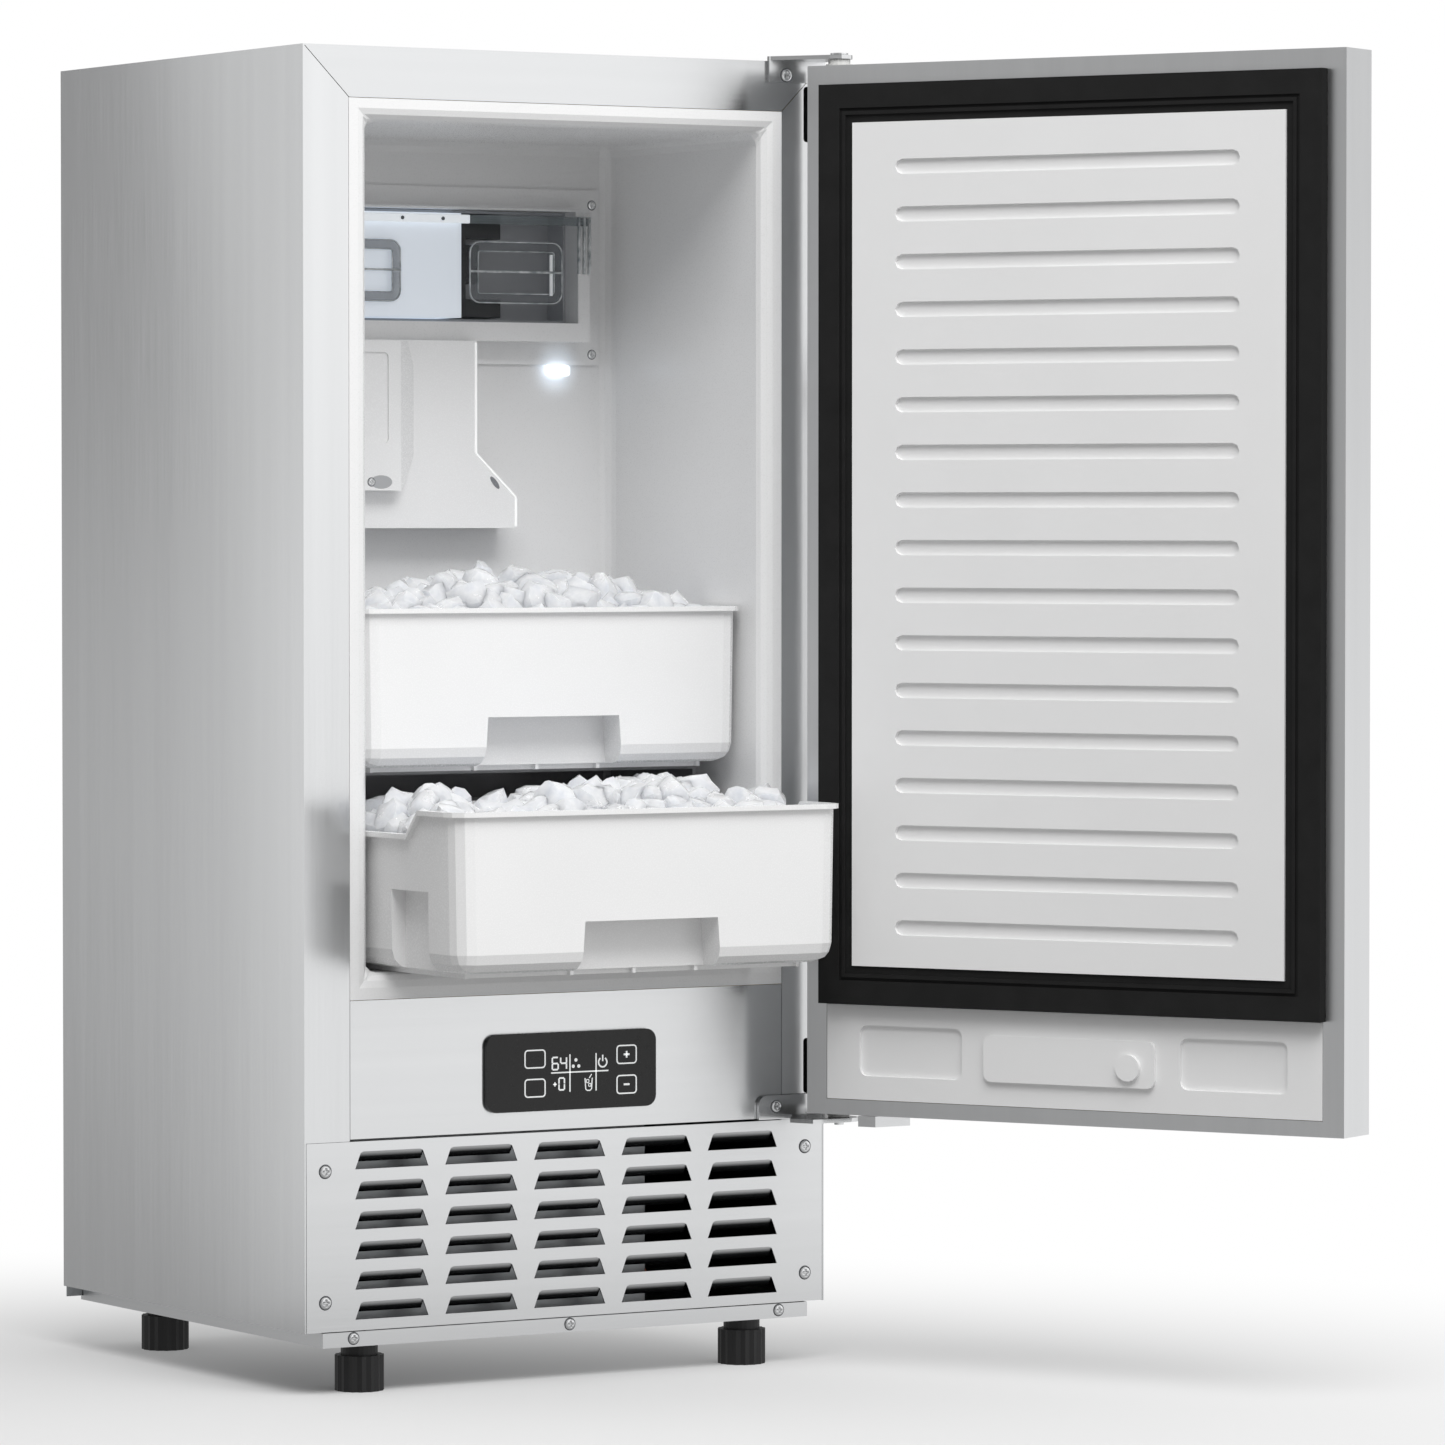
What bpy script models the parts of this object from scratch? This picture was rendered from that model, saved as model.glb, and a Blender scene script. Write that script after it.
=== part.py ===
"""Nugget ice maker: an under-counter cabinet with a swing door and two ice bins.

Metres, +Z up, front towards -Y. Every piece is modelled about the cabinet's own middle line and front
plane, with Z = 0 on the floor. The last step moves the whole so that its footprint is centred.
"""
import math

import bmesh
import bpy
from mathutils import Matrix, Vector

# Fits
seat_gap = 0.0003           # between pieces that touch
cut_run = 0.004             # how far a cutter runs past what it cuts
curve_steps = 6             # segments in a rounded corner

# Cabinet shell
cabinet_width = 0.375
cabinet_depth = 0.331
panel_height = 0.7875       # side panel, bottom edge to top
floor_clearance = 0.039     # floor to the side panels' bottom edge
sheet = 0.001
frame_width = 0.0315        # front flange, seen round the opening
rear_flange = 0.020
jamb_slot_width = 0.008
jamb_slot_height = 0.035
jamb_slot_inset = 0.0115    # slot's middle, in from the side
upper_slot_drop = 0.0330    # slot's middle, down from the top
lower_slot_rise = 0.0340    # slot's middle, up from the grille

# Base
tray_inset = 0.0125
tray_drop = 0.0095          # tray bottom below the side panels
tray_sheet = 0.0012
tray_rim = 0.0015
foot_side_inset = 0.049
foot_front_inset = 0.0204
foot_rear_inset = 0.0485
foot_radius = 0.0153
foot_neck_radius = 0.0115
foot_neck_height = 0.0070
foot_stud_radius = 0.0040
foot_stud_rise = 0.0120
foot_rib_depth = 0.0010
foot_ribs = 16

# Grille
grille_height = 0.1165
slot_width = 0.0514
slot_height = 0.0108
slot_pitch_x = 0.0633
slot_pitch_z = 0.0185
slot_columns = 5
slot_rows = 6
slot_top_drop = 0.0062      # first slot's top edge below the grille's top
slot_slant = 0.0030         # each end of a slot leans in by this much
slot_corner = 0.0030
louvre_depth = 0.0045
louvre_sheet = 0.0008
louvre_share = 0.60         # how far down its slot a louvre reaches

# Control fascia
fascia_height = 0.0850
touch_width = 0.1222
touch_height = 0.0486
touch_corner = 0.0070
touch_thickness = 0.0026
touch_rise = 0.0120         # touch panel's bottom above the fascia's bottom
board_width = 0.100
board_height = 0.040
board_thickness = 0.0016
board_standoff = 0.009
standoff_radius = 0.0030

# Liner
liner_wall = 0.0020
cavity_half_width = 0.1415
cavity_floor = 0.2193       # above the side panels' bottom edge
cavity_height = 0.5227
machine_space = 0.1410      # from the liner's back wall to the cabinet's back
liner_radius = 0.0080
shelf_level = 0.1995        # partition shelf's underside, above the side panels' bottom edge
shelf_sheet = 0.0012
shelf_front_inset = 0.0150
insulation_back = 0.040

# Bins
bin_top_half_width = 0.1368
bin_floor_half_width = 0.1350
bin_height = 0.0985
bin_back_gap = 0.0110       # behind a bin pushed home
bin_wall = 0.0022
bin_radius = 0.0120
bin_lip = 0.0030
bin_lip_height = 0.0030
bin_rest_front = 0.0190     # front wall behind the frame's front plane, pushed home
bin_pull = 0.1192           # how far the lower bin is pulled out
side_dip = 0.0150           # how far the side rims step down
side_dip_start = 0.0445     # from the front wall
side_dip_rear = 0.0200      # from the back wall
side_dip_ramp = 0.0145
grip_height = 0.0305
grip_top_half_width = 0.0473
grip_floor_half_width = 0.0497
grip_depth = 0.0210
hand_recess_start = 0.0377  # from the front wall
hand_recess_length = 0.0462
hand_recess_height = 0.0491
hand_recess_depth = 0.0090
rib_drop = 0.0033
rib_thickness = 0.0022
rib_half_width = 0.1194
rib_front_inset = 0.0250
rib_rear_inset = 0.0120
rib_pitch = 0.0443
rib_windows_each_side = 2
rib_hook = 0.0035

# Bin support
upper_bin_rise = 0.1215     # upper bin above the lower bin
support_reach = 0.1100      # forward from the liner's back wall
support_sheet = 0.0030
support_cheek_rise = 0.1047 # cheeks' lower edge above the liner's floor
support_apron_rise = 0.0987 # back apron's lower edge

# Ice module on the back wall
plate_half_width = 0.1314
plate_bottom = 0.5984       # above the side panels' bottom edge
plate_height = 0.1140
plate_thickness = 0.0024
module_half_width = 0.1150
module_depth = 0.0190
module_bottom = 0.6130
module_height = 0.0860
window_side = 0.0085
window_bottom = 0.0120
window_top = 0.0015
window_half_width = module_half_width - window_side
cover_thickness = 0.0024
cover_bar = 0.0060
grip_plate_inner = 0.0252
grip_plate_outer = 0.0944
grip_plate_bottom = 0.0115
grip_plate_height = 0.0400
grip_plate_relief = 0.0012
grip_plate_corner = 0.0060
grip_plate_rib = 0.0018
clip_count = 3
clip_pitch = 0.0030
clip_thickness = 0.0014
clip_drop = 0.0370
clip_depth = 0.0030
outlet_right = 0.0213
outlet_wall = 0.0020
cavity_box_depth = 0.0190
lamp_offset = 0.1000
lamp_width = 0.0160
lamp_height = 0.0070
lamp_depth = 0.0070

# Ice chute
chute_depth = 0.0260
chute_wall = 0.0018
chute_left = -0.1180
chute_right = 0.0270
chute_foot_right = 0.0566
chute_bottom = 0.4923
chute_foot_height = 0.0200
chute_slant_height = 0.0283
cap_right = -0.0200
cap_left = -0.0900
cap_rise = 0.0110
cap_bottom_rise = 0.0240
cap_slope = 0.0150
cap_recess_relief = 0.0012
sensor_length = 0.0120
sensor_width = 0.0040

# Door
door_side_gap = 0.0005      # door's edge in from the side panel's face
door_height = 0.6588
door_thickness = 0.0350
door_bottom = 0.1237        # above the side panels' bottom edge
door_gap = 0.0093           # closed door's inner face to the frame
door_open_angle = math.radians(118.1)
hinge_inset = 0.0098        # hinge axis, in from the side panel's face
hinge_forward = 0.0334      # hinge axis, in front of the frame
door_flange = 0.0142
door_foot_flange = 0.0097
gasket_margin = 0.0125
gasket_width = 0.0240
gasket_bottom = 0.0703      # above the door's bottom
gasket_height = 0.0080
gasket_groove_width = 0.0020
gasket_groove_depth = 0.0014
gasket_groove_margin = 0.0150
gasket_lip = 0.0050
gasket_lip_drop = 0.0015
panel_proud = 0.0080
panel_wall = 0.0024
groove_count = 17
groove_pitch = 0.02966
groove_length = 0.2390
groove_width = 0.0095
groove_depth = 0.0024
groove_top_drop = 0.0280    # first groove's middle below the raised field's top
lower_panel_height = 0.0595
recess_length = 0.0730
recess_height = 0.0320
recess_depth = 0.0024
recess_offset = 0.1125      # recess middle from the door's middle
recess_rise = 0.0150
raised_plate_length = 0.1190
raised_plate_height = 0.0290
raised_plate_rise = 0.0150
raised_plate_proud = 0.0026
recess_corner = 0.0050
boss_radius = 0.0082
boss_height = 0.0026
boss_offset = 0.0420        # from the door's middle
handle_radius = 0.0060
handle_length = 0.3200
handle_standoff = 0.0380
handle_inset = 0.0450
handle_post_inset = 0.0300

# Hinges
hinge_sheet = 0.0025
upper_tab_height = 0.0135
lower_tab_height = 0.0128
lower_tab_corner = 0.0060
hinge_tab_reach = 0.0091    # tab's right edge, right of the pin
upper_tab_width = 0.0420
lower_tab_width = 0.0496
upper_nose_radius = 0.0083
upper_nose_start = 192      # degrees round the pin
lower_nose_radius = 0.0125
lower_nose_start = 262
lower_neck_width = 0.0238   # lower plate where it leaves the tab
lower_tip_left = 0.0333     # lower plate's corners, from the pin
lower_tip_back = 0.0049
lower_front_left = 0.0262
lower_front_drop = 0.0110
pin_head_radius = 0.0056
pin_head_height = 0.0010
lower_pin_drop = 0.0023     # lower pin's end below its plate
pin_radius = 0.0030
bush_radius = 0.0070
bush_flange_radius = 0.0085
bush_bore = 0.0034
bush_depth = 0.0100         # how far a bush goes into the door
stop_thickness = 0.0068
stop_reach = 0.0238         # out from the door's inner face
stop_foot = 0.0005
stop_heel = 0.0115
stop_foot_start = 0.0366    # along the door, from its hinge edge
stop_foot_end = 0.0490
stop_heel_start = 0.0426
stop_tip_start = 0.0448
stop_tip_end = 0.0610

# Ice making
barrel_offset = -0.0400     # auger axis from the middle line
barrel_back = 0.0510        # auger axis in front of the cabinet's back
barrel_radius = 0.0340
barrel_bore = 0.0260
auger_radius = 0.0240
auger_core = 0.0090
auger_turns = 5
auger_flight = 0.0050
motor_width = 0.0760
motor_height = 0.0620
head_radius = 0.0360
head_height = 0.0560
spout_half_width = 0.0280
spout_height = 0.0360
spout_rise = 0.0136         # spout's underside above the module's window sill
spout_wall = 0.0020
bracket_sheet = 0.0020
bracket_width = 0.0900
bracket_share = 0.85        # bracket's height on the barrel

# Water
reservoir_width = 0.0900
reservoir_depth = 0.0780
reservoir_height = 0.0900
reservoir_wall = 0.0025
reservoir_offset = 0.1200
float_radius = 0.0160
float_height = 0.0200
float_travel = 0.0300
stem_radius = 0.0030
valve_width = 0.0300
valve_height = 0.0450
valve_rise = 0.3700
port_radius = 0.0100
port_bore = 0.0060
port_length = 0.0140
drain_rise = 0.0260
drain_offset = -0.1000
pump_width = 0.0500
pump_height = 0.0550
pump_depth = 0.0700
hose_radius = 0.0050
drain_hose_drop = 0.0240

# Refrigeration
condenser_offset = -0.0400
condenser_width = 0.2200
condenser_height = 0.1500
condenser_depth = 0.0400
condenser_front = 0.0260
fin_count = 20
fin_share = 0.45
fin_spine_share = 0.15
shroud_depth = 0.0240
shroud_wall = 0.0020
fan_radius = 0.0580
fan_clearance = 0.0040
fan_hub_radius = 0.0140
fan_blades = 5
fan_blade_width = 0.0260
fan_blade_sheet = 0.0016
fan_blade_pitch = math.radians(28)
fan_motor_radius = 0.0260
fan_motor_length = 0.0400
fan_motor_gap = 0.0120
fan_bracket_width = 0.0400
compressor_radius = 0.0560
compressor_height = 0.1350
compressor_clear = 0.0060   # compressor's middle, right of the condenser
compressor_back = 0.0900
compressor_plate = 0.0030
drier_radius = 0.0095
drier_length = 0.0700
tube_radius = 0.0032
tube_stub = 0.0200
riser_gap = 0.0200

# Rear
inlet_width = 0.0480
inlet_height = 0.0280
inlet_depth = 0.0200
inlet_rise = 0.0500
inlet_offset = 0.1300
inlet_flange = 0.0040
vent_rows = 6
vent_columns = 2
vent_width = 0.0800
vent_height = 0.0040
vent_pitch_x = 0.1000
vent_pitch_z = 0.0110
vent_rise = 0.0650

# Levels and places that follow from the sizes
half_width = cabinet_width / 2
door_width = cabinet_width - 2 * door_side_gap
cavity_depth = cabinet_depth - machine_space
bin_depth = cavity_depth - bin_rest_front - bin_back_gap
side_dip_end = bin_depth - side_dip_rear
support_front = cavity_depth - support_reach
compressor_offset = condenser_offset + condenser_width / 2 + compressor_clear
panel_base = floor_clearance
cabinet_top = panel_base + panel_height
inner_half_width = half_width - sheet - seat_gap
back_plane = cabinet_depth - sheet - seat_gap
tray_floor = panel_base - tray_drop + tray_sheet
grille_top = panel_base + grille_height
opening_half_width = half_width - frame_width
fascia_bottom = grille_top + 5 * seat_gap
fascia_top = fascia_bottom + fascia_height
shelf_bottom = panel_base + shelf_level
shelf_top = shelf_bottom + shelf_sheet
liner_floor = panel_base + cavity_floor
liner_ceiling = liner_floor + cavity_height
liner_back = cavity_depth + liner_wall
insulation_rear = liner_back + insulation_back
hinge_x = half_width - hinge_inset
hinge_y = -hinge_forward
door_z = panel_base + door_bottom
door_top = door_z + door_height
door_hinge_edge = (door_width - cabinet_width) / 2 + hinge_inset
lower_bin_z = liner_floor + seat_gap + rib_drop
upper_bin_z = lower_bin_z + upper_bin_rise
support_top = upper_bin_z - rib_drop - seat_gap
module_front = cavity_depth - seat_gap - module_depth
barrel_y = cabinet_depth - barrel_back
motor_bottom = shelf_top + seat_gap
barrel_bottom = motor_bottom + motor_height + seat_gap
spout_low = panel_base + module_bottom + window_bottom + spout_rise
head_bottom = spout_low - (head_height - spout_height) / 2
barrel_height = head_bottom - seat_gap - barrel_bottom
fan_x = condenser_offset
fan_z = tray_floor + seat_gap + condenser_height / 2
shroud_front = condenser_front + condenser_depth + seat_gap
motor_front = shroud_front + shroud_depth + fan_motor_gap

parts = bpy.data.collections.new("nugget_ice_maker")
cutters = bpy.data.collections.new("cutters")
carriers = {}

# Name: colour, roughness, metallic, transmission
FINISHES = {
    "brushed_steel": ((0.62, 0.63, 0.64), 0.34, 1.0, 0.0),
    "galvanised": ((0.50, 0.52, 0.54), 0.50, 1.0, 0.0),
    "white_plastic": ((0.84, 0.85, 0.86), 0.35, 0.0, 0.0),
    "liner_plastic": ((0.70, 0.71, 0.72), 0.30, 0.0, 0.0),
    "black_plastic": ((0.03, 0.03, 0.03), 0.45, 0.0, 0.0),
    "black_glass": ((0.02, 0.02, 0.02), 0.12, 0.0, 0.0),
    "gasket_rubber": ((0.03, 0.03, 0.03), 0.60, 0.0, 0.0),
    "clear_plastic": ((0.85, 0.90, 0.92), 0.08, 0.0, 0.9),
    "foam": ((0.80, 0.74, 0.50), 0.90, 0.0, 0.0),
    "copper": ((0.72, 0.38, 0.22), 0.30, 1.0, 0.0),
    "circuit_board": ((0.02, 0.18, 0.07), 0.50, 0.0, 0.0),
    "lamp_lens": ((0.90, 0.95, 1.00), 0.20, 0.0, 0.0),
}


def finish(name):
    """Return the named material, made on first use."""
    found = bpy.data.materials.get(name)
    if found:
        return found
    colour, roughness, metallic, clear = FINISHES[name]
    made = bpy.data.materials.new(name)
    made.use_nodes = True
    shader = made.node_tree.nodes["Principled BSDF"]
    shader.inputs["Base Color"].default_value = (*colour, 1.0)
    shader.inputs["Roughness"].default_value = roughness
    shader.inputs["Metallic"].default_value = metallic
    shader.inputs["Transmission Weight"].default_value = clear
    made.diffuse_color = (*colour, 1.0)
    return made


def carrier(name, location):
    """An empty on a joint's axis, which carries the pieces that move with it."""
    empty = bpy.data.objects.new(name, None)
    empty.location = location
    parts.objects.link(empty)
    carriers[name] = empty
    return empty


def raw(name, mesh, location=(0, 0, 0)):
    """An object with no material yet, kept out of any collection."""
    made = bpy.data.objects.new(name, mesh)
    made.location = location
    return made


def piece(made, material, carried_by=None, smooth=False):
    """File an object as one of the ice maker's pieces."""
    parts.objects.link(made)
    made.data.materials.clear()
    made.data.materials.append(finish(material))
    if smooth:
        made.data.shade_smooth()
        made.data.set_sharp_from_angle(angle=math.radians(35))
    if carried_by:
        holder = carriers[carried_by]
        made.parent = holder
        made.location = made.location - holder.location
    return made


def combine(target, tool, operation):
    """Join, cut or intersect a piece with a tool that is not part of the model."""
    cutters.objects.link(tool)
    tool.hide_render = True
    tool.display_type = 'WIRE'
    step = target.modifiers.new(f"{operation.lower()} {tool.name}", 'BOOLEAN')
    step.object = tool
    step.operation = operation
    return target


def cut(target, *tools):
    for tool in tools:
        combine(target, tool, 'DIFFERENCE')
    return target


def join(target, *tools):
    for tool in tools:
        combine(target, tool, 'UNION')
    return target


def block(name, low, high, bevel=0.0):
    """A box between two corners, with its edges rounded where a bevel is given."""
    size = [b - a for a, b in zip(low, high)]
    middle = [(a + b) / 2 for a, b in zip(low, high)]
    mesh = bpy.data.meshes.new(name)
    form = bmesh.new()
    bmesh.ops.create_cube(form, size=1, matrix=Matrix.Diagonal((*size, 1)))
    form.to_mesh(mesh)
    form.free()
    made = raw(name, mesh, middle)
    if bevel:
        edge = made.modifiers.new("rounded edges", 'BEVEL')
        edge.width = bevel
        edge.segments = 2
    return made


def cylinder(name, radius, start, end, sides=24, radius_end=None):
    """A cylinder or cone between two points."""
    start, end = Vector(start), Vector(end)
    run = end - start
    turn = run.to_track_quat('Z', 'Y').to_matrix().to_4x4()
    mesh = bpy.data.meshes.new(name)
    form = bmesh.new()
    last = radius if radius_end is None else radius_end
    bmesh.ops.create_cone(form, cap_ends=True, segments=sides, radius1=radius, radius2=last,
                          depth=run.length, matrix=turn)
    form.to_mesh(mesh)
    form.free()
    return raw(name, mesh, (start + end) / 2)


def as_mesh(curve_object):
    """Turn a curve object into a closed mesh object in the same place."""
    bpy.context.scene.collection.objects.link(curve_object)
    bpy.context.view_layer.update()
    shape = curve_object.evaluated_get(bpy.context.evaluated_depsgraph_get())
    mesh = bpy.data.meshes.new_from_object(shape)
    form = bmesh.new()
    form.from_mesh(mesh)
    bmesh.ops.remove_doubles(form, verts=form.verts, dist=seat_gap / 30)
    bmesh.ops.recalc_face_normals(form, faces=form.faces)
    form.to_mesh(mesh)
    form.free()
    name = curve_object.name
    place = curve_object.matrix_world.copy()
    bpy.data.objects.remove(curve_object)
    made = raw(name, mesh)
    made.matrix_world = place
    return made


# Which two axes an outline is drawn on, and its turn into the world
PLANES = {
    'XY': Matrix.Identity(4),
    'XZ': Matrix.Rotation(math.pi / 2, 4, 'X'),
    'YZ': Matrix(((0, 0, 1, 0), (1, 0, 0, 0), (0, 1, 0, 0), (0, 0, 0, 1))),
}


def plate(name, outlines, plane, near, far):
    """A flat outline, with any further outlines as its holes, thickened from near to far."""
    curve = bpy.data.curves.new(name, 'CURVE')
    curve.dimensions = '2D'
    curve.fill_mode = 'BOTH'
    curve.extrude = abs(far - near) / 2
    for outline in outlines:
        spline = curve.splines.new('POLY')
        spline.points.add(len(outline) - 1)
        for point, (u, v) in zip(spline.points, outline):
            point.co = (u, v, 0, 1)
        spline.use_cyclic_u = True
    made = bpy.data.objects.new(name, curve)
    middle = (near + far) / 2
    shift = {'XY': (0, 0, middle), 'XZ': (0, middle, 0), 'YZ': (middle, 0, 0)}[plane]
    made.matrix_world = Matrix.Translation(shift) @ PLANES[plane]
    return as_mesh(made)


def rectangle(low, high, radius=0.0, steps=curve_steps):
    """Outline of a rectangle, with round corners where a radius is given."""
    (x0, y0), (x1, y1) = low, high
    if not radius:
        return [(x0, y0), (x1, y0), (x1, y1), (x0, y1)]
    centres = [(x1 - radius, y0 + radius, -90), (x1 - radius, y1 - radius, 0),
               (x0 + radius, y1 - radius, 90), (x0 + radius, y0 + radius, 180)]
    points = []
    for cx, cy, start in centres:
        for step in range(steps + 1):
            angle = math.radians(start + 90 * step / steps)
            points.append((cx + radius * math.cos(angle), cy + radius * math.sin(angle)))
    return points


def turned(name, profile, location, steps=32):
    """A profile of (radius, height) pairs, top to bottom, turned about Z."""
    mesh = bpy.data.meshes.new(name)
    form = bmesh.new()
    rings = [form.verts.new((radius, 0, height)) for radius, height in profile]
    for upper, lower in zip(rings, rings[1:]):
        form.edges.new((upper, lower))
    form.to_mesh(mesh)
    form.free()
    made = raw(name, mesh, location)
    screw = made.modifiers.new("turned", 'SCREW')
    screw.steps = steps
    screw.render_steps = steps
    screw.use_merge_vertices = True
    screw.merge_threshold = seat_gap / 30
    screw.use_normal_calculate = True
    return made


def tube(name, points, radius, bends=4):
    """A round tube through the points, its corners eased by a smooth curve."""
    eased = smooth_route([Vector(p) for p in points], bends)
    curve = bpy.data.curves.new(name, 'CURVE')
    curve.dimensions = '3D'
    curve.bevel_depth = radius
    curve.bevel_resolution = 1
    curve.use_fill_caps = True
    spline = curve.splines.new('POLY')
    spline.points.add(len(eased) - 1)
    for point, place in zip(spline.points, eased):
        point.co = (*place, 1)
    return as_mesh(bpy.data.objects.new(name, curve))


def smooth_route(corners, bends):
    """Round each corner of a route with a quadratic arc of a few points."""
    route = [corners[0]]
    for before, corner, after in zip(corners, corners[1:], corners[2:]):
        reach = min((before - corner).length, (after - corner).length) * 0.45
        start = corner + (before - corner).normalized() * reach
        end = corner + (after - corner).normalized() * reach
        for step in range(bends + 1):
            share = step / bends
            route.append(start.lerp(corner, share).lerp(corner.lerp(end, share), share))
    route.append(corners[-1])
    return route


# Cabinet shell

def side_panel(side):
    """A folded side sheet: web, front flange above the grille, stepped-back flange behind it."""
    face = side * half_width
    inner = side * (half_width - sheet)
    edge = side * opening_half_width
    low, high = sorted((face, inner))
    name = "left_side_panel" if side < 0 else "right_side_panel"
    web = block(name, (low, 0, panel_base), (high, cabinet_depth, cabinet_top))
    overlap = -side * sheet / 2
    flange_x = sorted((inner - overlap, edge))
    front = block(f"{name}_front_flange", (flange_x[0], 0, grille_top + seat_gap),
                  (flange_x[1], sheet, cabinet_top))
    step = sheet + seat_gap
    behind = block(f"{name}_grille_flange", (flange_x[0], step, panel_base + 2 * tray_rim),
                   (flange_x[1], step + sheet, grille_top + seat_gap + sheet))
    rear_x = sorted((inner - overlap, side * (half_width - rear_flange)))
    rear = block(f"{name}_rear_flange", (rear_x[0], cabinet_depth - sheet, panel_base + 2 * tray_rim),
                 (rear_x[1], cabinet_depth, cabinet_top - rear_flange - seat_gap))
    join(web, front, behind, rear)
    reach = frame_width + cut_run
    mitre = [(side * (half_width - sheet - seat_gap), cabinet_top - sheet - seat_gap),
             (side * (half_width - reach), cabinet_top - reach),
             (side * (half_width - reach), cabinet_top + cut_run),
             (side * (half_width - sheet - seat_gap), cabinet_top + cut_run)]
    cut(web, plate(f"{name}_mitre", [mitre[::int(side)]], 'XZ', -cut_run, sheet + cut_run))
    if side > 0:
        middle = half_width - jamb_slot_inset
        for level in (cabinet_top - upper_slot_drop, grille_top + lower_slot_rise):
            hole = rectangle((middle - jamb_slot_width / 2, level - jamb_slot_height / 2),
                             (middle + jamb_slot_width / 2, level + jamb_slot_height / 2),
                             jamb_slot_width / 4, 3)
            cut(web, plate(f"jamb_slot_{level:.3f}", [hole], 'XZ', -cut_run, sheet + cut_run))
    return piece(web, "brushed_steel")


def top_panel():
    """The top sheet between the side panels, folded down at the front and the back."""
    top = block("top_panel", (-inner_half_width, 0, cabinet_top - sheet),
                (inner_half_width, cabinet_depth, cabinet_top))
    front = block("top_front_flange", (-inner_half_width, 0, cabinet_top - frame_width),
                  (inner_half_width, sheet, cabinet_top - sheet / 2))
    rear = block("top_rear_flange", (-inner_half_width, cabinet_depth - sheet, cabinet_top - rear_flange),
                 (inner_half_width, cabinet_depth, cabinet_top - sheet / 2))
    join(top, front, rear)
    reach = frame_width + cut_run
    for side in (-1, 1):
        mitre = [(side * (half_width - sheet / 2 - 2 * seat_gap), cabinet_top - sheet / 2),
                 (side * (half_width + cut_run), cabinet_top - sheet / 2),
                 (side * (half_width + cut_run), cabinet_top - reach),
                 (side * (half_width - reach), cabinet_top - reach + 2 * seat_gap)]
        cut(top, plate(f"top_mitre_{side}", [mitre[::-side]], 'XZ', -cut_run, 3 * sheet))
    return piece(top, "brushed_steel")


def rear_panel():
    """The back sheet, with vent slots and holes for the power inlet, the water valve and the drain."""
    low = tray_floor + tray_sheet + seat_gap
    high = cabinet_top - sheet - seat_gap
    back = block("rear_panel", (-inner_half_width, back_plane - sheet, low),
                 (inner_half_width, back_plane, high))
    for row in range(vent_rows):
        for column in range(vent_columns):
            x = (column - (vent_columns - 1) / 2) * vent_pitch_x + condenser_offset
            z = panel_base + vent_rise + row * vent_pitch_z
            slot = rectangle((x - vent_width / 2, z - vent_height / 2),
                             (x + vent_width / 2, z + vent_height / 2))
            cut(back, plate(f"vent_{row}_{column}", [slot], 'XZ', back_plane - cut_run, back_plane + cut_run))
    z = panel_base + inlet_rise
    reach = seat_gap
    cut(back, block("inlet_hole", (inlet_offset - inlet_width / 2 - reach, back_plane - cut_run,
                                   z - inlet_height / 2 - reach),
                    (inlet_offset + inlet_width / 2 + reach, back_plane + cut_run,
                     z + inlet_height / 2 + reach)))
    for name, (x, level) in rear_ports().items():
        cut(back, cylinder(f"{name}_hole", port_radius + 2 * seat_gap, (x, back_plane - cut_run, level),
                           (x, back_plane + cut_run, level)))
    return piece(back, "galvanised")


def rear_ports():
    """Where the water inlet and the drain pass through the back."""
    return {"inlet_valve": (reservoir_offset, panel_base + valve_rise),
            "drain_pump": (drain_offset, panel_base + drain_rise)}


# Base

def base_tray():
    """A pan under the cabinet, its side rims turned out under the side panels' webs."""
    half = half_width - tray_inset
    bottom = panel_base - tray_drop
    rim_top = panel_base + tray_rim
    pan = block("base_tray", (-half, 0, bottom), (half, cabinet_depth, rim_top))
    cut(pan, block("tray_inside", (-half + tray_sheet, tray_sheet, tray_floor),
                   (half - tray_sheet, cabinet_depth - tray_sheet, rim_top + cut_run)))
    for side in (-1, 1):
        x = sorted((side * (half - tray_sheet / 2), side * inner_half_width))
        join(pan, block(f"tray_rim_{side}", (x[0], 3 * sheet, rim_top - tray_sheet),
                        (x[1], cabinet_depth - 2 * sheet, rim_top)))
    cut(pan, block("tray_front_step", (-half_width, -cut_run, panel_base - seat_gap),
                   (half_width, 3 * sheet, rim_top + cut_run)))
    cut(pan, block("tray_rear_step", (-half_width, back_plane - 2 * sheet, tray_floor + tray_sheet),
                   (half_width, cabinet_depth + cut_run, rim_top + cut_run)))
    for _, x, y in foot_places():
        cut(pan, cylinder("stud_hole", foot_stud_radius + 2 * seat_gap, (x, y, bottom - cut_run),
                          (x, y, tray_floor + cut_run)))
    return piece(pan, "brushed_steel")


def foot_places():
    x = half_width - foot_side_inset
    front, rear = foot_front_inset, cabinet_depth - foot_rear_inset
    return [("foot_front_left", -x, front), ("foot_front_right", x, front),
            ("foot_rear_left", -x, rear), ("foot_rear_right", x, rear)]


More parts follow.
